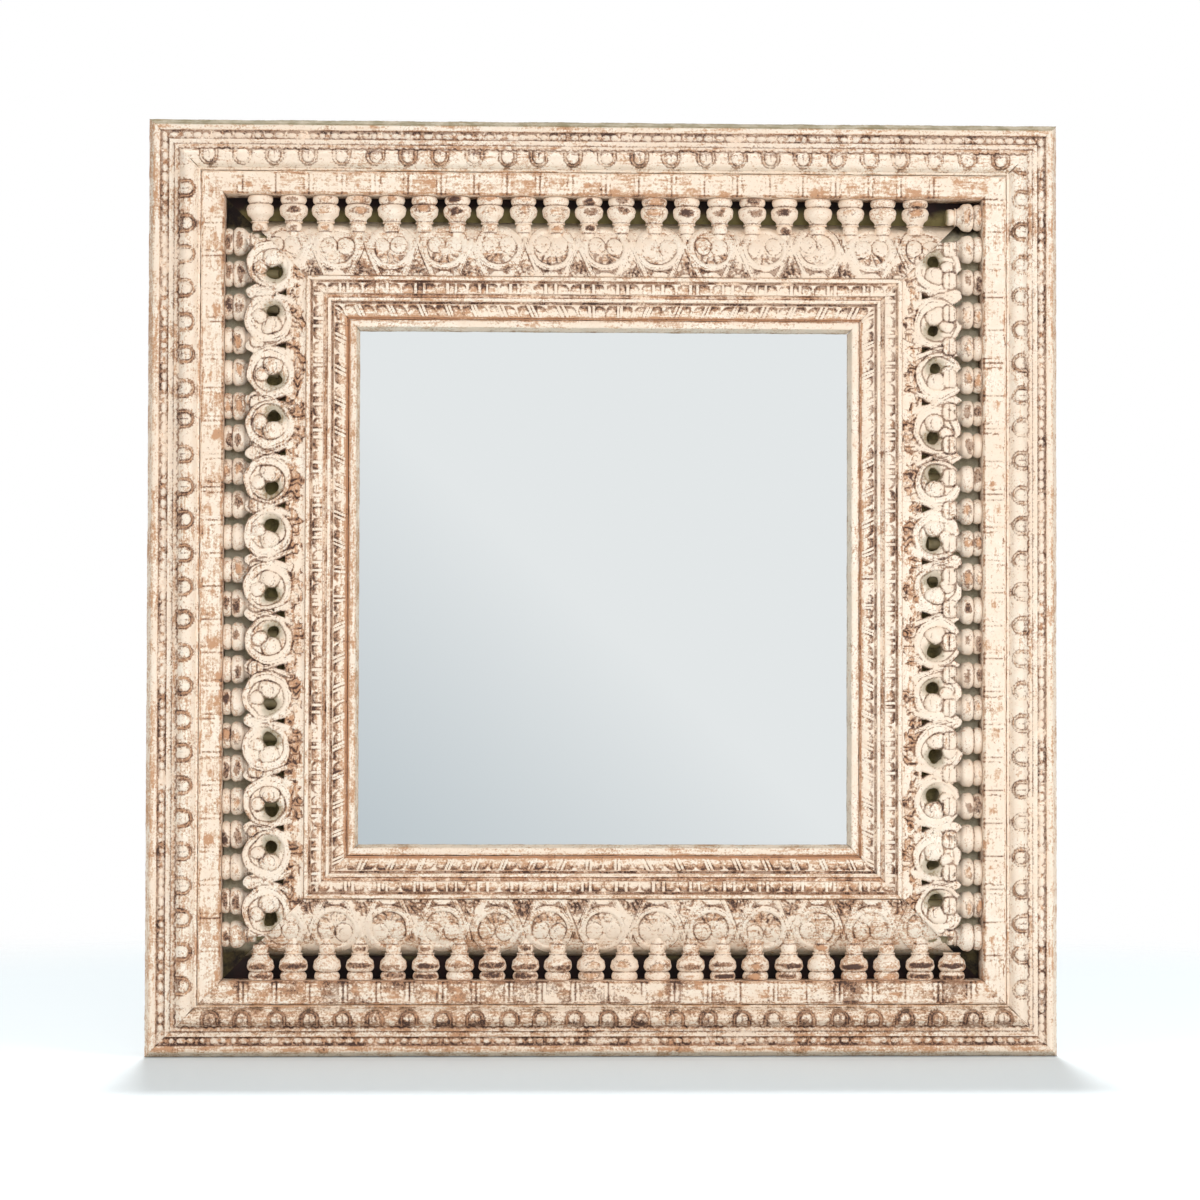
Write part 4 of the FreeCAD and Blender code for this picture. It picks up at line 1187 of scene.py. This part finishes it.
def baluster_profile(layout, side, stop):
    """Half outline of a baluster from its foot to where it stops: points (across, radius)."""
    sizes = layout.sizes
    start = layout.gallery_start
    ring = sizes.ring_radius * 0.88
    corners = [(start - TENON_LENGTH, sizes.neck_radius, 0), (start, sizes.neck_radius, 0),
               (start, ring, 0), (start + sizes.ring_length, ring * 0.86, 0.22)]
    for share in VASE_SECTION:
        place = start + sizes.ring_length + share[0] * sizes.vase_length
        corners.append((place, sizes.vase_radius * share[1], bulge_of(share)))
    if stop != "vase":
        corners.append((layout.vase_end, sizes.torus_radius * 0.82, 0))
        corners.append((layout.torus_end, sizes.torus_radius * 0.82, 0.17))
    if stop in ("neck", "full"):
        end = layout.inner_rail_start if side.pierced else layout.torus_end + sizes.neck_length
        corners.append((layout.torus_end, sizes.neck_radius, 0))
        corners.append((end, sizes.neck_radius, 0))
    points = []
    for here, ahead in zip(corners, corners[1:]):
        points += list(bowed_run(here[:2], ahead[:2], ahead[2], TURNED_FINE))
    return points + [np.array(corners[-1][:2])]


def turned(profile):
    """A mesh turned from a half outline about the X axis, the across direction, closed at both ends."""
    shape = bmesh.new()
    points = [(profile[0][0], 0.0)] + [tuple(point) for point in profile] + [(profile[-1][0], 0.0)]
    verts = [shape.verts.new((across, radius, 0)) for across, radius in points]
    edges = [shape.edges.new(pair) for pair in zip(verts, verts[1:])]
    bmesh.ops.spin(shape, geom=verts + edges, cent=(0, 0, 0), axis=(1, 0, 0), dvec=(0, 0, 0),
                   angle=2 * math.pi, steps=TURNED_STEPS, use_merge=True, use_duplicate=False)
    bmesh.ops.remove_doubles(shape, verts=shape.verts, dist=0.01 * MM)
    bmesh.ops.recalc_face_normals(shape, faces=shape.faces)
    return put_back(shape, bpy.data.meshes.new("turned"))


def front_patches(layout, side, across, sideways, forward, random):
    """Wear and darkening of the rubbed and burnt places on the front of one baluster."""
    rub = np.zeros(len(across))
    dirt = np.zeros(len(across))
    facing = ramp(forward / layout.sizes.vase_radius, 0.3, 0.6)
    ragged = Lattice(random.integers(1000), 3 * MM)(across, sideways)
    burnt = random.random() < side.burnt
    flatness = 0.7 if burnt and side.name == "bottom" else 1.0
    for middle, half, chance in ((layout.gallery_start + 14 * MM, 4.5 * MM, 0.85),
                                 (layout.gallery_start + 3.5 * MM, 4.0 * MM, 0.6),
                                 (layout.vase_end + 5 * MM, 4.0 * MM, 0.4)):
        strength = random.uniform(0.4, 0.85) if random.random() < chance else 0
        wide = random.uniform(6, 10) * MM
        shifted = sideways - random.uniform(-2.5, 2.5) * MM
        level = (across - middle - random.uniform(-1.5, 1.5) * MM) / (half * flatness)
        spot = 1 - np.hypot(level, shifted * flatness ** 2 / wide) + 0.35 * ragged
        rub += strength * np.clip(spot * 2.5, 0, 1) * facing
        dark = np.clip(spot * 3, 0, 1) if burnt else hump(spot - 0.15, 0.3)
        dirt += (1.7 if burnt else 0.95) * strength * dark * facing
    return rub, dirt


def baluster_row(side):
    """All balusters of a side, each a little different, in one mesh."""
    layout = Layout()
    sizes = layout.sizes
    random = np.random.default_rng(600 + side.quarter)
    masters = {stop: turned(baluster_profile(layout, side, stop)) for stop in {"full", *side.stops}}
    shape = bmesh.new()
    parts = {"points": [], "hollow": [], "rub": [], "shade": []}
    for along, stop in side.stations(sizes.baluster_pitch):
        shape.from_mesh(masters[stop])
        across, sideways, forward = read_points(masters[stop]).T
        thick = random.uniform(0.97, 1.04)
        lean = random.uniform(-0.012, 0.012)
        shift = random.uniform(-0.6, 0.6) * MM
        bumps = Lattice(random.integers(1000), 5 * MM)(across * 2 + sideways, forward + along)
        size = thick * (1 + 0.02 * bumps)
        placed = sideways * size + along + shift + (across - layout.gallery_start) * lean
        parts["points"].append(side.place(placed, across, layout.baluster_depth + forward * size))
        lines = 0.7 * hump(across - layout.gallery_start - sizes.ring_length, 1.0 * MM)
        lines = lines + 0.8 * hump(across - layout.vase_end + 1.3 * MM, 0.9 * MM)
        lines = lines + hump(across - layout.torus_end, 1.0 * MM) + 0.1 * np.abs(bumps)
        # Painted shade, dark and olive, on the side of each baluster that faces the wall, and olive behind a
        # pierced panel.
        behind = ramp(forward / sizes.vase_radius, 0.2, -0.5)
        rub, dirt = front_patches(layout, side, across, sideways, forward, random)
        parts["hollow"].append(lines + dirt + 0.1 * behind)
        parts["rub"].append(rub + side.tone + 0.15 * bumps)
        parts["shade"].append(0.15 * behind + side.pierced * ramp(across, *SHADED_BEHIND_PANEL))
    mesh = put_back(shape, bpy.data.meshes.new("turned_balusters_" + side.name))
    write_points(mesh, np.concatenate(parts.pop("points")))
    for key, values in parts.items():
        store(mesh, key, np.concatenate(values))
    face_outwards(mesh)
    return mesh


class Value:
    """A node's output. Arithmetic on it adds Math nodes."""

    def __init__(self, look, socket):
        self.look = look
        self.socket = socket

    def math(self, operation, *inputs, clamp=False):
        return self.look.node("ShaderNodeMath", {"operation": operation, "use_clamp": clamp}, inputs)

    def __add__(self, other):
        return self.math("ADD", self, other)

    def __radd__(self, other):
        return self.math("ADD", other, self)

    def __sub__(self, other):
        return self.math("SUBTRACT", self, other)

    def __rsub__(self, other):
        return self.math("SUBTRACT", other, self)

    def __mul__(self, other):
        return self.math("MULTIPLY", self, other)

    def __rmul__(self, other):
        return self.math("MULTIPLY", other, self)

    def smooth(self, low, high):
        """0 up to low, 1 from high, smooth between."""
        return self.look.node("ShaderNodeMapRange", {"interpolation_type": "SMOOTHSTEP"},
                              (self, low, high, 0.0, 1.0))

    def part(self, axis):
        """One of the three numbers of a place or direction: 0 for X, 1 for Y, 2 for Z."""
        return self.look.node("ShaderNodeSeparateXYZ", {}, {0: self}, axis)

    def size(self):
        """How large a number is, whatever its sign."""
        return self.math("ABSOLUTE", self)


class Look:
    """A node tree and the calls that add its nodes."""

    def __init__(self, tree):
        self.tree = tree
        self.tree.nodes.clear()

    def node(self, kind, settings=None, inputs=(), output=0):
        made = self.tree.nodes.new(kind)
        for key, value in (settings or {}).items():
            setattr(made, key, value)
        pairs = inputs.items() if isinstance(inputs, dict) else enumerate(inputs)
        for key, value in pairs:
            if isinstance(value, Value):
                self.tree.links.new(value.socket, made.inputs[key])
            else:
                made.inputs[key].default_value = value
        return Value(self, made.outputs[output]) if made.outputs else None

    def mix(self, share, first, second):
        """Colour between two colours."""
        first = first if isinstance(first, Value) else (*first, 1)
        second = second if isinstance(second, Value) else (*second, 1)
        return self.node("ShaderNodeMix", {"data_type": "RGBA"}, {0: share, 6: first, 7: second}, 2)

    def coordinates(self, kind="Object"):
        return self.node("ShaderNodeTexCoord", output=kind)

    def place(self, stretch=(1, 1, 1), turn=(0, 0, 0)):
        """Object coordinates, turned first and then stretched."""
        turned_place = self.node("ShaderNodeMapping", {}, {"Vector": self.coordinates(), "Rotation": turn})
        return self.node("ShaderNodeMapping", {}, {"Vector": turned_place, "Scale": stretch})

    def in_front(self, depth):
        """1 on what lies at least this far from the wall, 0 behind it."""
        away = 0 - self.coordinates().part(1)
        return away.smooth(depth - 0.6 * MM, depth - 0.1 * MM)

    def ray(self, kind):
        """1 for rays of a kind, such as camera or glossy, 0 for the rest."""
        return self.node("ShaderNodeLightPath", output="Is " + kind + " Ray")

    def noise(self, place, scale, detail=3.0, roughness=0.55):
        return self.node("ShaderNodeTexNoise", {},
                         {"Vector": place, "Scale": scale, "Detail": detail, "Roughness": roughness})

    def attribute(self, name):
        return self.node("ShaderNodeAttribute", {"attribute_name": name}, output="Fac")

    def surface(self, **sockets):
        """The Principled surface that everything ends in."""
        inputs = {key.replace("_", " "): value for key, value in sockets.items()}
        shader = self.node("ShaderNodeBsdfPrincipled", {}, inputs)
        self.node("ShaderNodeOutputMaterial", {}, {"Surface": shader})

    def bump(self, height, strength, distance):
        inputs = {"Strength": strength, "Distance": distance, "Height": height}
        return self.node("ShaderNodeBump", {}, inputs)

    def cracks(self, place, scale):
        """Distance from the edges of an uneven net of cells."""
        wobble = self.node("ShaderNodeTexNoise", {}, {"Vector": place, "Scale": 90.0}, "Color")
        shift = self.node("ShaderNodeVectorMath", {"operation": "SCALE"}, {0: wobble, "Scale": 0.004})
        warped = self.node("ShaderNodeVectorMath", {"operation": "ADD"}, (place, shift))
        return self.node("ShaderNodeTexVoronoi", {"feature": "DISTANCE_TO_EDGE"},
                         {"Vector": warped, "Scale": scale}, "Distance")


def new_look(name):
    """A new material and the look that its nodes are added to."""
    material = bpy.data.materials.new(name)
    material.use_nodes = True
    return material, Look(material.node_tree)


def painted(name, brush):
    """Cream paint, brushed one way, rubbed tan and rust, dark in the hollows, with a fine crackle and painted
    olive shade.
    """
    colours = bpy.context.scene.mirror_colours
    material, look = new_look(name)
    place = look.place()
    large = look.noise(place, 9.0, 2.0)
    middle = look.noise(place, 62.0, 4.0, 0.62)
    fine = look.noise(place, 460.0, 3.0, 0.7)
    streak = look.noise(look.place(brush), 460.0, 3.0, 0.6)
    hollow = look.attribute("hollow")
    shade = look.attribute("shade")
    wear = look.attribute("rub") + large + middle * 1.6 + streak * 1.9 + fine * 2.4 - 3.45
    thin = wear.smooth(0.16, 0.42)
    bare = wear.smooth(0.52, 0.74)
    dirt = (hollow + middle * 1.3 + fine * 2.0 - 1.65).smooth(0.25, 0.75)
    black = (hollow * 0.8 + wear * 0.25 + middle * 2.0 + fine * 2.6 - 2.35).smooth(0.90, 1.2)
    off_cracks = look.cracks(place, 160.0).smooth(0.015, 0.06)
    crackle = (1 - off_cracks) * (middle + large * 0.6).smooth(0.76, 0.95)
    tone = look.mix((large * 0.5 + middle * 0.5).smooth(0.40, 0.62), colours.cream, colours.pale)
    tone = look.mix(thin * 0.8, tone, colours.tan)
    tone = look.mix(bare * 0.85, tone, colours.rust)
    tone = look.mix(crackle * 0.4, tone, colours.rust)
    tone = look.mix(fine.smooth(0.54, 0.66) * 0.28, tone, colours.tan)
    # Umber and the darkest specks: soiling in the hollows, with painted shade where the hollow attribute
    # holds it.
    tone = look.mix(dirt * 0.72, tone, colours.umber)
    tone = look.mix(black * 0.85, tone, colours.soot_and_shadow)
    # Painted shade: olive where the shade attribute is set.
    tone = look.mix((shade * (0.4 + middle * 1.1)).smooth(0.0, 1.0), tone, colours.olive)
    relief = fine * 0.5 + middle * 0.5 + streak * 0.3 - thin * 0.25 - bare * 0.3 - crackle * 0.3
    look.surface(Base_Color=tone, Roughness=0.62 + thin * 0.15, Normal=look.bump(relief, 0.45, 0.0007))
    return material


def wood_grain(look, turn, light, dark):
    """Tone and relief of planed wood with its grain along one direction."""
    grain = look.noise(look.place((2.2, 26.0, 26.0), (0, turn, 0)), 6.0, 6.0, 0.62)
    streaks = look.noise(look.place((1.2, 90.0, 90.0), (0, turn, 0)), 5.0, 3.0)
    stains = look.noise(look.place(), 9.0, 3.0)
    tone = look.mix((grain * 0.7 + streaks * 0.4).smooth(0.38, 0.72), dark, light)
    tone = look.mix(stains.smooth(0.52, 0.75) * 0.35, tone, bpy.context.scene.mirror_colours.umber)
    return tone, grain * 0.6 + streaks * 0.4


def grained(name, turn, stained=None):
    """Planed wood, stained with a pair of colours only where it can be seen from the front."""
    colours = bpy.context.scene.mirror_colours
    material, look = new_look(name)
    tone, relief = wood_grain(look, turn, colours.wood, colours.wood_dark)
    if stained:
        layout = Layout()
        edge = cad_box[1].x - layout.panel_end
        outer = look.coordinates().part(0).size().smooth(edge - 2 * MM, edge)
        front, _ = wood_grain(look, turn, *stained)
        tone = look.mix(look.in_front(layout.board_front) * outer, tone, front)
    look.surface(Base_Color=tone, Roughness=0.7 + relief * 0.12, Normal=look.bump(relief, 0.3, 0.0008))
    return material


GROUND_FADE = 12 * MM


def ground(name, turn, near, ends, high, middle=None, wide=0.0):
    """A board behind the balusters, bare at the back. Its front has one pair of colours, another beyond a
    height and, if it is given, a third within a width."""
    colours = bpy.context.scene.mirror_colours
    material, look = new_look(name)
    place = look.place()
    cloud = look.noise(place, 40.0, 4.0)
    fine = look.noise(place, 400.0, 3.0, 0.7)
    width, height = [place.part(axis).size() + cloud * 0.02 - 0.01 for axis in (0, 2)]
    first = look.mix((cloud * 0.6 + fine * 0.4).smooth(0.46, 0.62) * 0.45, *near)
    mottle = (cloud * 0.7 + fine * 0.3).smooth(0.40, 0.60)
    front = look.mix(height.smooth(high, high + GROUND_FADE), first, look.mix(mottle, *ends))
    if middle:
        front = look.mix((wide - width).smooth(0, GROUND_FADE), front, look.mix(mottle, *middle))
    wood, _ = wood_grain(look, turn, colours.wood, colours.wood_dark)
    tone = look.mix(look.in_front(Layout().board_front), wood, front)
    look.surface(Base_Color=tone, Roughness=0.6 + fine * 0.15, Normal=look.bump(fine, 0.3, 0.0005))
    return material


def backing():
    """Brown board with flecks and a slight sheen on its pressed face."""
    colours = bpy.context.scene.mirror_colours
    material, look = new_look("pressed_board")
    flecks = look.noise(look.place(), 900.0, 2.0, 0.7)
    cloud = look.noise(look.place(), 7.0, 4.0)
    tone = look.mix(flecks.smooth(0.35, 0.7), colours.wood_dark, colours.board)
    tone = look.mix(cloud.smooth(0.4, 0.75) * 0.3, tone, colours.umber)
    look.surface(Base_Color=tone, Roughness=0.55 + flecks * 0.2, Normal=look.bump(flecks, 0.15, 0.0003))
    return material


def silvered():
    """Silvered glass with the faintest haze."""
    colours = bpy.context.scene.mirror_colours
    material, look = new_look("silvered_glass")
    haze = look.noise(look.place(), 5.0, 3.0)
    smears = look.noise(look.place((1, 1, 5)), 30.0, 3.0)
    look.surface(Base_Color=(*colours.silver, 1), Metallic=1.0,
                 Roughness=0.015 + (haze * 0.7 + smears * 0.3).smooth(0.4, 0.8) * 0.02)
    return material


def plated():
    """Zinc-plated steel with a dull mottle."""
    colours = bpy.context.scene.mirror_colours
    material, look = new_look("zinc_plate")
    mottle = look.noise(look.place(), 420.0, 3.0)
    worn = look.noise(look.place(), 110.0, 3.0)
    tone = look.mix(worn.smooth(0.5, 0.75) * 0.5, colours.steel, colours.umber)
    look.surface(Base_Color=tone, Metallic=1.0, Roughness=0.3 + mottle * 0.25,
                 Normal=look.bump(mottle, 0.1, 0.0002))
    return material


def felted():
    """Dark soft bumpers."""
    colours = bpy.context.scene.mirror_colours
    material, look = new_look("felt_bumper")
    fibre = look.noise(look.place(), 1500.0, 3.0, 0.7)
    tone = look.mix(fibre.smooth(0.3, 0.75), colours.felt, colours.umber)
    look.surface(Base_Color=tone, Roughness=0.9, Normal=look.bump(fibre, 0.4, 0.0004))
    return material


# Heights from the mirror's middle beyond which the gallery boards are painted black as shadow, and the half
# width within which the side boards are olive
SHADOW_BEYOND = {"top": 376 * MM, "bottom": 362 * MM, "side": 355 * MM}
OLIVE_WITHIN = 350 * MM
STEEL_NODES = ("brace_screws", "back_rail_screws", "inner_rail_screws", "hanger_screws",
               "hanger_plate_left", "hanger_plate_right", "hanger_ring_left", "hanger_ring_right")


def coat(node, material):
    """Gives a carried-over node its material."""
    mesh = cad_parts[node].data
    mesh.materials.clear()
    mesh.materials.append(material)


def paint_for(side):
    """The paint brushed along a side. It is made once for each direction."""
    name = "antique_paint_" + ("level" if side.level else "upright")
    brush = (0.12, 1, 1) if side.level else (1, 1, 0.12)
    return bpy.data.materials.get(name) or painted(name, brush)


def even_columns(side, step):
    count = int(2 * side.half / step)
    return np.linspace(-side.half, side.half, count + 1)


class CarveOuterMoulding(bpy.types.Operator):
    """Carve the outer moulding with its beads and eggs"""

    bl_idname = "wall_mirror.outer_moulding"
    bl_label = "Carve outer moulding"

    def execute(self, context):
        layout = Layout()
        sizes = layout.sizes
        rows = section_rows(0, layout.rail_front, sizes.edge_width, sizes.edge_rise, EDGE_SECTION,
                            EDGE_FINE, EDGE_COARSE)
        for side in SIDES:
            columns = even_columns(side, EDGE_STEP)
            mesh = carved_run("carved_edge_", side, rows, columns, EDGE_FAN, carve_edge, EDGE_FINE,
                              EDGE_STEP)
            finish_piece(mesh, side, "outer_moulding_")
        return {"FINISHED"}


class CutPlinthBlocks(bpy.types.Operator):
    """Cut the rails of plinth blocks"""

    bl_idname = "wall_mirror.plinth_blocks"
    bl_label = "Cut plinth blocks"

    def execute(self, context):
        layout = Layout()
        sizes = layout.sizes
        rows = section_rows(layout.block_start, layout.rail_front, sizes.block_width, sizes.block_rise,
                            BLOCK_SECTION, BLOCK_FINE, BLOCK_COARSE)
        for side in SIDES:
            columns = block_columns(side, sizes)
            mesh = carved_run("plinth_blocks_", side, rows, columns, BLOCK_FAN, carve_blocks, BLOCK_FINE,
                              BLOCK_STEP)
            finish_piece(mesh, side, "block_rail_")
        return {"FINISHED"}


class TurnBalusters(bpy.types.Operator):
    """Turn the balusters of the gallery"""

    bl_idname = "wall_mirror.balusters"
    bl_label = "Turn balusters"

    def execute(self, context):
        for side in SIDES:
            finish_piece(baluster_row(side), side, "balusters_")
        return {"FINISHED"}


class CarveScrollPanels(bpy.types.Operator):
    """Carve the solid and the pierced scroll panels"""

    bl_idname = "wall_mirror.scroll_panels"
    bl_label = "Carve scroll panels"

    def execute(self, context):
        rows = hood_rows(Layout())
        for side in SIDES:
            if side.pierced:
                mesh = pierced_panel(side)
            else:
                columns = even_columns(side, HOOD_FINE)
                mesh = carved_run("carved_scrolls_", side, rows, columns, HOOD_FAN, carve_hood, HOOD_FINE,
                                  HOOD_FINE)
            finish_piece(mesh, side, "scroll_panel_")
        return {"FINISHED"}


class CarveInnerMoulding(bpy.types.Operator):
    """Carve the inner moulding with its arches and leaves, and the bead round the glass"""

    bl_idname = "wall_mirror.inner_moulding"
    bl_label = "Carve inner moulding"

    def execute(self, context):
        layout = Layout()
        sizes = layout.sizes
        rows = section_rows(layout.panel_end, layout.inner_front, sizes.inner_width, sizes.inner_rise,
                            INNER_SECTION, INNER_FINE, INNER_COARSE)
        bead_rows = section_rows(layout.bead_start, layout.glass_front, sizes.bead_width, sizes.bead_rise,
                                 BEAD_SECTION, INNER_FINE, BEAD_COARSE)
        for side in SIDES:
            columns = even_columns(side, INNER_STEP)
            mesh = carved_run("arcaded_moulding_", side, rows, columns, INNER_FAN, carve_inner, INNER_FINE,
                              INNER_STEP)
            finish_piece(mesh, side, "inner_moulding_")
            columns = even_columns(side, BEAD_STEP)
            mesh = carved_run("rubbed_bead_", side, bead_rows, columns, BEAD_FAN, carve_sight_bead,
                              INNER_FINE, BEAD_STEP)
            finish_piece(mesh, side, "sight_bead_")
        return {"FINISHED"}


class CoatBackPieces(bpy.types.Operator):
    """Give the glass, the rails, the boards and the hardware their materials"""

    bl_idname = "wall_mirror.back_pieces"
    bl_label = "Coat back pieces"

    def execute(self, context):
        colours = context.scene.mirror_colours
        olive = (colours.stain, colours.stain_dark)
        # Painted shadow: the black pair where shade falls beside the top's plinth blocks and over the bottom
        # gallery, the corner pair in the side boards' corners.
        black = (colours.char, colours.soot_and_shadow)
        corner_shadow = (colours.stain_dark, colours.char)
        # Painted light: the near-white pair where the side light falls between the side balusters.
        painted_light_pair = (colours.painted_light, colours.stain)
        level = grained("wood_level", 0)
        upright = grained("wood_upright", math.pi / 2)
        stained = grained("stained_rail", math.pi / 2, olive)
        boards = {"top": ground("ground_top", 0, olive, black, SHADOW_BEYOND["top"]),
                  "bottom": ground("ground_bottom", 0, olive, black, SHADOW_BEYOND["bottom"])}
        side_board = ground("ground_upright", math.pi / 2, painted_light_pair, corner_shadow, SHADOW_BEYOND["side"], olive,
                            OLIVE_WITHIN)
        for side in SIDES:
            for kind in ("back_rail_", "glazing_strip_"):
                coat(kind + side.name, level if side.level else upright)
            coat("inner_rail_" + side.name, level if side.level else stained)
            coat("gallery_board_" + side.name, boards.get(side.name, side_board))
        falling = grained("wood_falling", -math.pi / 4)
        rising = grained("wood_rising", math.pi / 4)
        for corner, wood in (("top_left", falling), ("bottom_right", falling), ("top_right", rising),
                             ("bottom_left", rising)):
            coat("corner_brace_" + corner, wood)
        coat("backing_board", backing())
        coat("mirror_glass", silvered())
        coat("wall_bumpers", felted())
        steel = plated()
        for node in STEEL_NODES:
            coat(node, steel)
        return {"FINISHED"}


# Stage. What is seen in the glass runs across and upwards from one pale colour to another.
CAMERA_AZIMUTH = math.radians(-2.063)
CAMERA_ELEVATION = math.radians(-1.468)
CAMERA_ROLL = math.radians(0.141)
CAMERA_DISTANCE = 3.6
CAMERA_LENS = 106.78
CAMERA_SENSOR = 36
CAMERA_AIM = Vector((-0.0028, -0.04, -0.0114))
FLOOR_HALF = 2.3
FLOOR_BELOW = 0.5 * MM
FLOOR_GREY = (0.74, 0.80, 0.83, 1)
FLOOR_GLOW = 0.15
FLOOR_FADE = (1.2, 2.0)
SKY_LEVEL = (0.37, 0.37, 0.36)
SEEN_IN_GLASS = (linear(235.5, 236.7, 236.8), linear(197, 204, 208))
SIDE_BOX = {"shape": "RECTANGLE", "size": 0.9, "size_y": 1.5}


def add_camera():
    back = Vector((math.sin(CAMERA_AZIMUTH) * math.cos(CAMERA_ELEVATION),
                   -math.cos(CAMERA_AZIMUTH) * math.cos(CAMERA_ELEVATION), math.sin(CAMERA_ELEVATION)))
    right = Vector((0, 0, 1)).cross(back).normalized()
    up = back.cross(right)
    turn = Matrix((right, up, back)).transposed().to_4x4()
    data = bpy.data.cameras.new("photo_camera")
    data.lens = CAMERA_LENS
    data.sensor_width = CAMERA_SENSOR
    camera = bpy.data.objects.new("photo_camera", data)
    camera.matrix_world = (Matrix.Translation(CAMERA_AIM + back * CAMERA_DISTANCE) @ turn
                           @ Matrix.Rotation(CAMERA_ROLL, 4, "Z"))
    bpy.context.scene.collection.objects.link(camera)
    bpy.context.scene.camera = camera


def add_lamp(name, kind, place, **settings):
    """A lamp that points at the middle of the mirror."""
    data = bpy.data.lights.new(name, kind)
    for key, value in settings.items():
        setattr(data, key, value)
    lamp = bpy.data.objects.new(name, data)
    turn = (-Vector(place)).to_track_quat("-Z", "Y").to_matrix().to_4x4()
    lamp.matrix_world = Matrix.Translation(place) @ turn
    bpy.context.scene.collection.objects.link(lamp)
    return lamp


def add_world():
    """Soft grey light all round, white behind the object, and a pale gradient for what mirrors show."""
    world = bpy.data.worlds.new("studio")
    bpy.context.scene.world = world
    world.use_nodes = True
    look = Look(world.node_tree)
    direction = look.coordinates("Generated")
    across = direction.part(0)
    upwards = direction.part(2)
    share = across.math("ADD", across * -7.5 + upwards * -8.3, 0.437, clamp=True)
    reflected = look.mix(share, *SEEN_IN_GLASS)
    tone = look.mix(look.ray("Glossy"), SKY_LEVEL, reflected)
    tone = look.mix(look.ray("Camera"), tone, (1.0, 1.0, 1.0))
    sky = look.node("ShaderNodeBackground", {}, {"Color": tone, "Strength": 1.0})
    look.node("ShaderNodeOutputWorld", {}, {"Surface": sky})


def floor_material():
    """Pale floor that keeps the object's shadow and fades into the white background."""
    material, look = new_look("pale_floor")
    distance = look.node("ShaderNodeVectorMath", {"operation": "LENGTH"}, {0: look.coordinates()}, "Value")
    grey = look.node("ShaderNodeBsdfDiffuse", {}, {"Color": FLOOR_GREY})
    strength = look.ray("Camera") * FLOOR_GLOW
    glow = look.node("ShaderNodeEmission", {}, {"Color": (1, 1, 1, 1), "Strength": strength})
    lit = look.node("ShaderNodeAddShader", {}, (grey, glow))
    clear = look.node("ShaderNodeBsdfTransparent")
    both = look.node("ShaderNodeMixShader", {}, (distance.smooth(*FLOOR_FADE), lit, clear))
    look.node("ShaderNodeOutputMaterial", {}, {"Surface": both})
    return material


def add_floor():
    shape = bmesh.new()
    bmesh.ops.create_grid(shape, x_segments=1, y_segments=1, size=FLOOR_HALF)
    bmesh.ops.translate(shape, verts=shape.verts, vec=(0, 0, cad_box[0].z - FLOOR_BELOW))
    mesh = put_back(shape, bpy.data.meshes.new("floor"))
    mesh.materials.append(floor_material())
    floor = bpy.data.objects.new("floor", mesh)
    bpy.context.scene.collection.objects.link(floor)


class SetStage(bpy.types.Operator):
    """Set up the floor, the lamps, the world and the camera"""

    bl_idname = "wall_mirror.stage"
    bl_label = "Set stage"

    def execute(self, context):
        add_floor()
        add_lamp("left_box", "AREA", (-2.0, -2.4, 1.0), energy=17, **SIDE_BOX)
        add_lamp("right_box", "AREA", (2.0, -2.4, 1.0), energy=31, **SIDE_BOX)
        front = add_lamp("front_box", "AREA", (0.1, -3.9, 0.35), energy=39, size=1.2)
        front.visible_glossy = False
        add_lamp("back_light", "SUN", (0, 1.0, 3), energy=2.0, angle=math.radians(4.5))
        add_world()
        add_camera()
        context.scene.view_settings.view_transform = "Standard"
        return {"FINISHED"}


class MirrorPanel(bpy.types.Panel):
    """Lists the sizes, the colours and the steps of the wall mirror"""

    bl_idname = "WALL_MIRROR_PT_panel"
    bl_label = "Wall Mirror"
    bl_space_type = "VIEW_3D"
    bl_region_type = "UI"
    bl_category = "Wall Mirror"

    def draw(self, context):
        for group in (context.scene.mirror_sizes, context.scene.mirror_colours):
            box = self.layout.box()
            for key in group.bl_rna.properties.keys():
                if key not in ("name", "rna_type"):
                    box.prop(group, key)
        for operator in STEPS:
            self.layout.operator(operator.bl_idname)


STEPS = (CarveOuterMoulding, CutPlinthBlocks, TurnBalusters, CarveScrollPanels, CarveInnerMoulding,
         CoatBackPieces, SetStage)
CLASSES = (MirrorSizes, MirrorColours, *STEPS, MirrorPanel)


def register():
    for item in CLASSES:
        bpy.utils.register_class(item)
    bpy.types.Scene.mirror_sizes = bpy.props.PointerProperty(type=MirrorSizes)
    bpy.types.Scene.mirror_colours = bpy.props.PointerProperty(type=MirrorColours)


def unregister():
    del bpy.types.Scene.mirror_colours
    del bpy.types.Scene.mirror_sizes
    for item in reversed(CLASSES):
        bpy.utils.unregister_class(item)


def main():
    register()
    bpy.ops.wall_mirror.outer_moulding()
    bpy.ops.wall_mirror.plinth_blocks()
    bpy.ops.wall_mirror.balusters()
    bpy.ops.wall_mirror.scroll_panels()
    bpy.ops.wall_mirror.inner_moulding()
    bpy.ops.wall_mirror.back_pieces()
    bpy.ops.wall_mirror.stage()


if __name__ == "__main__":
    main()
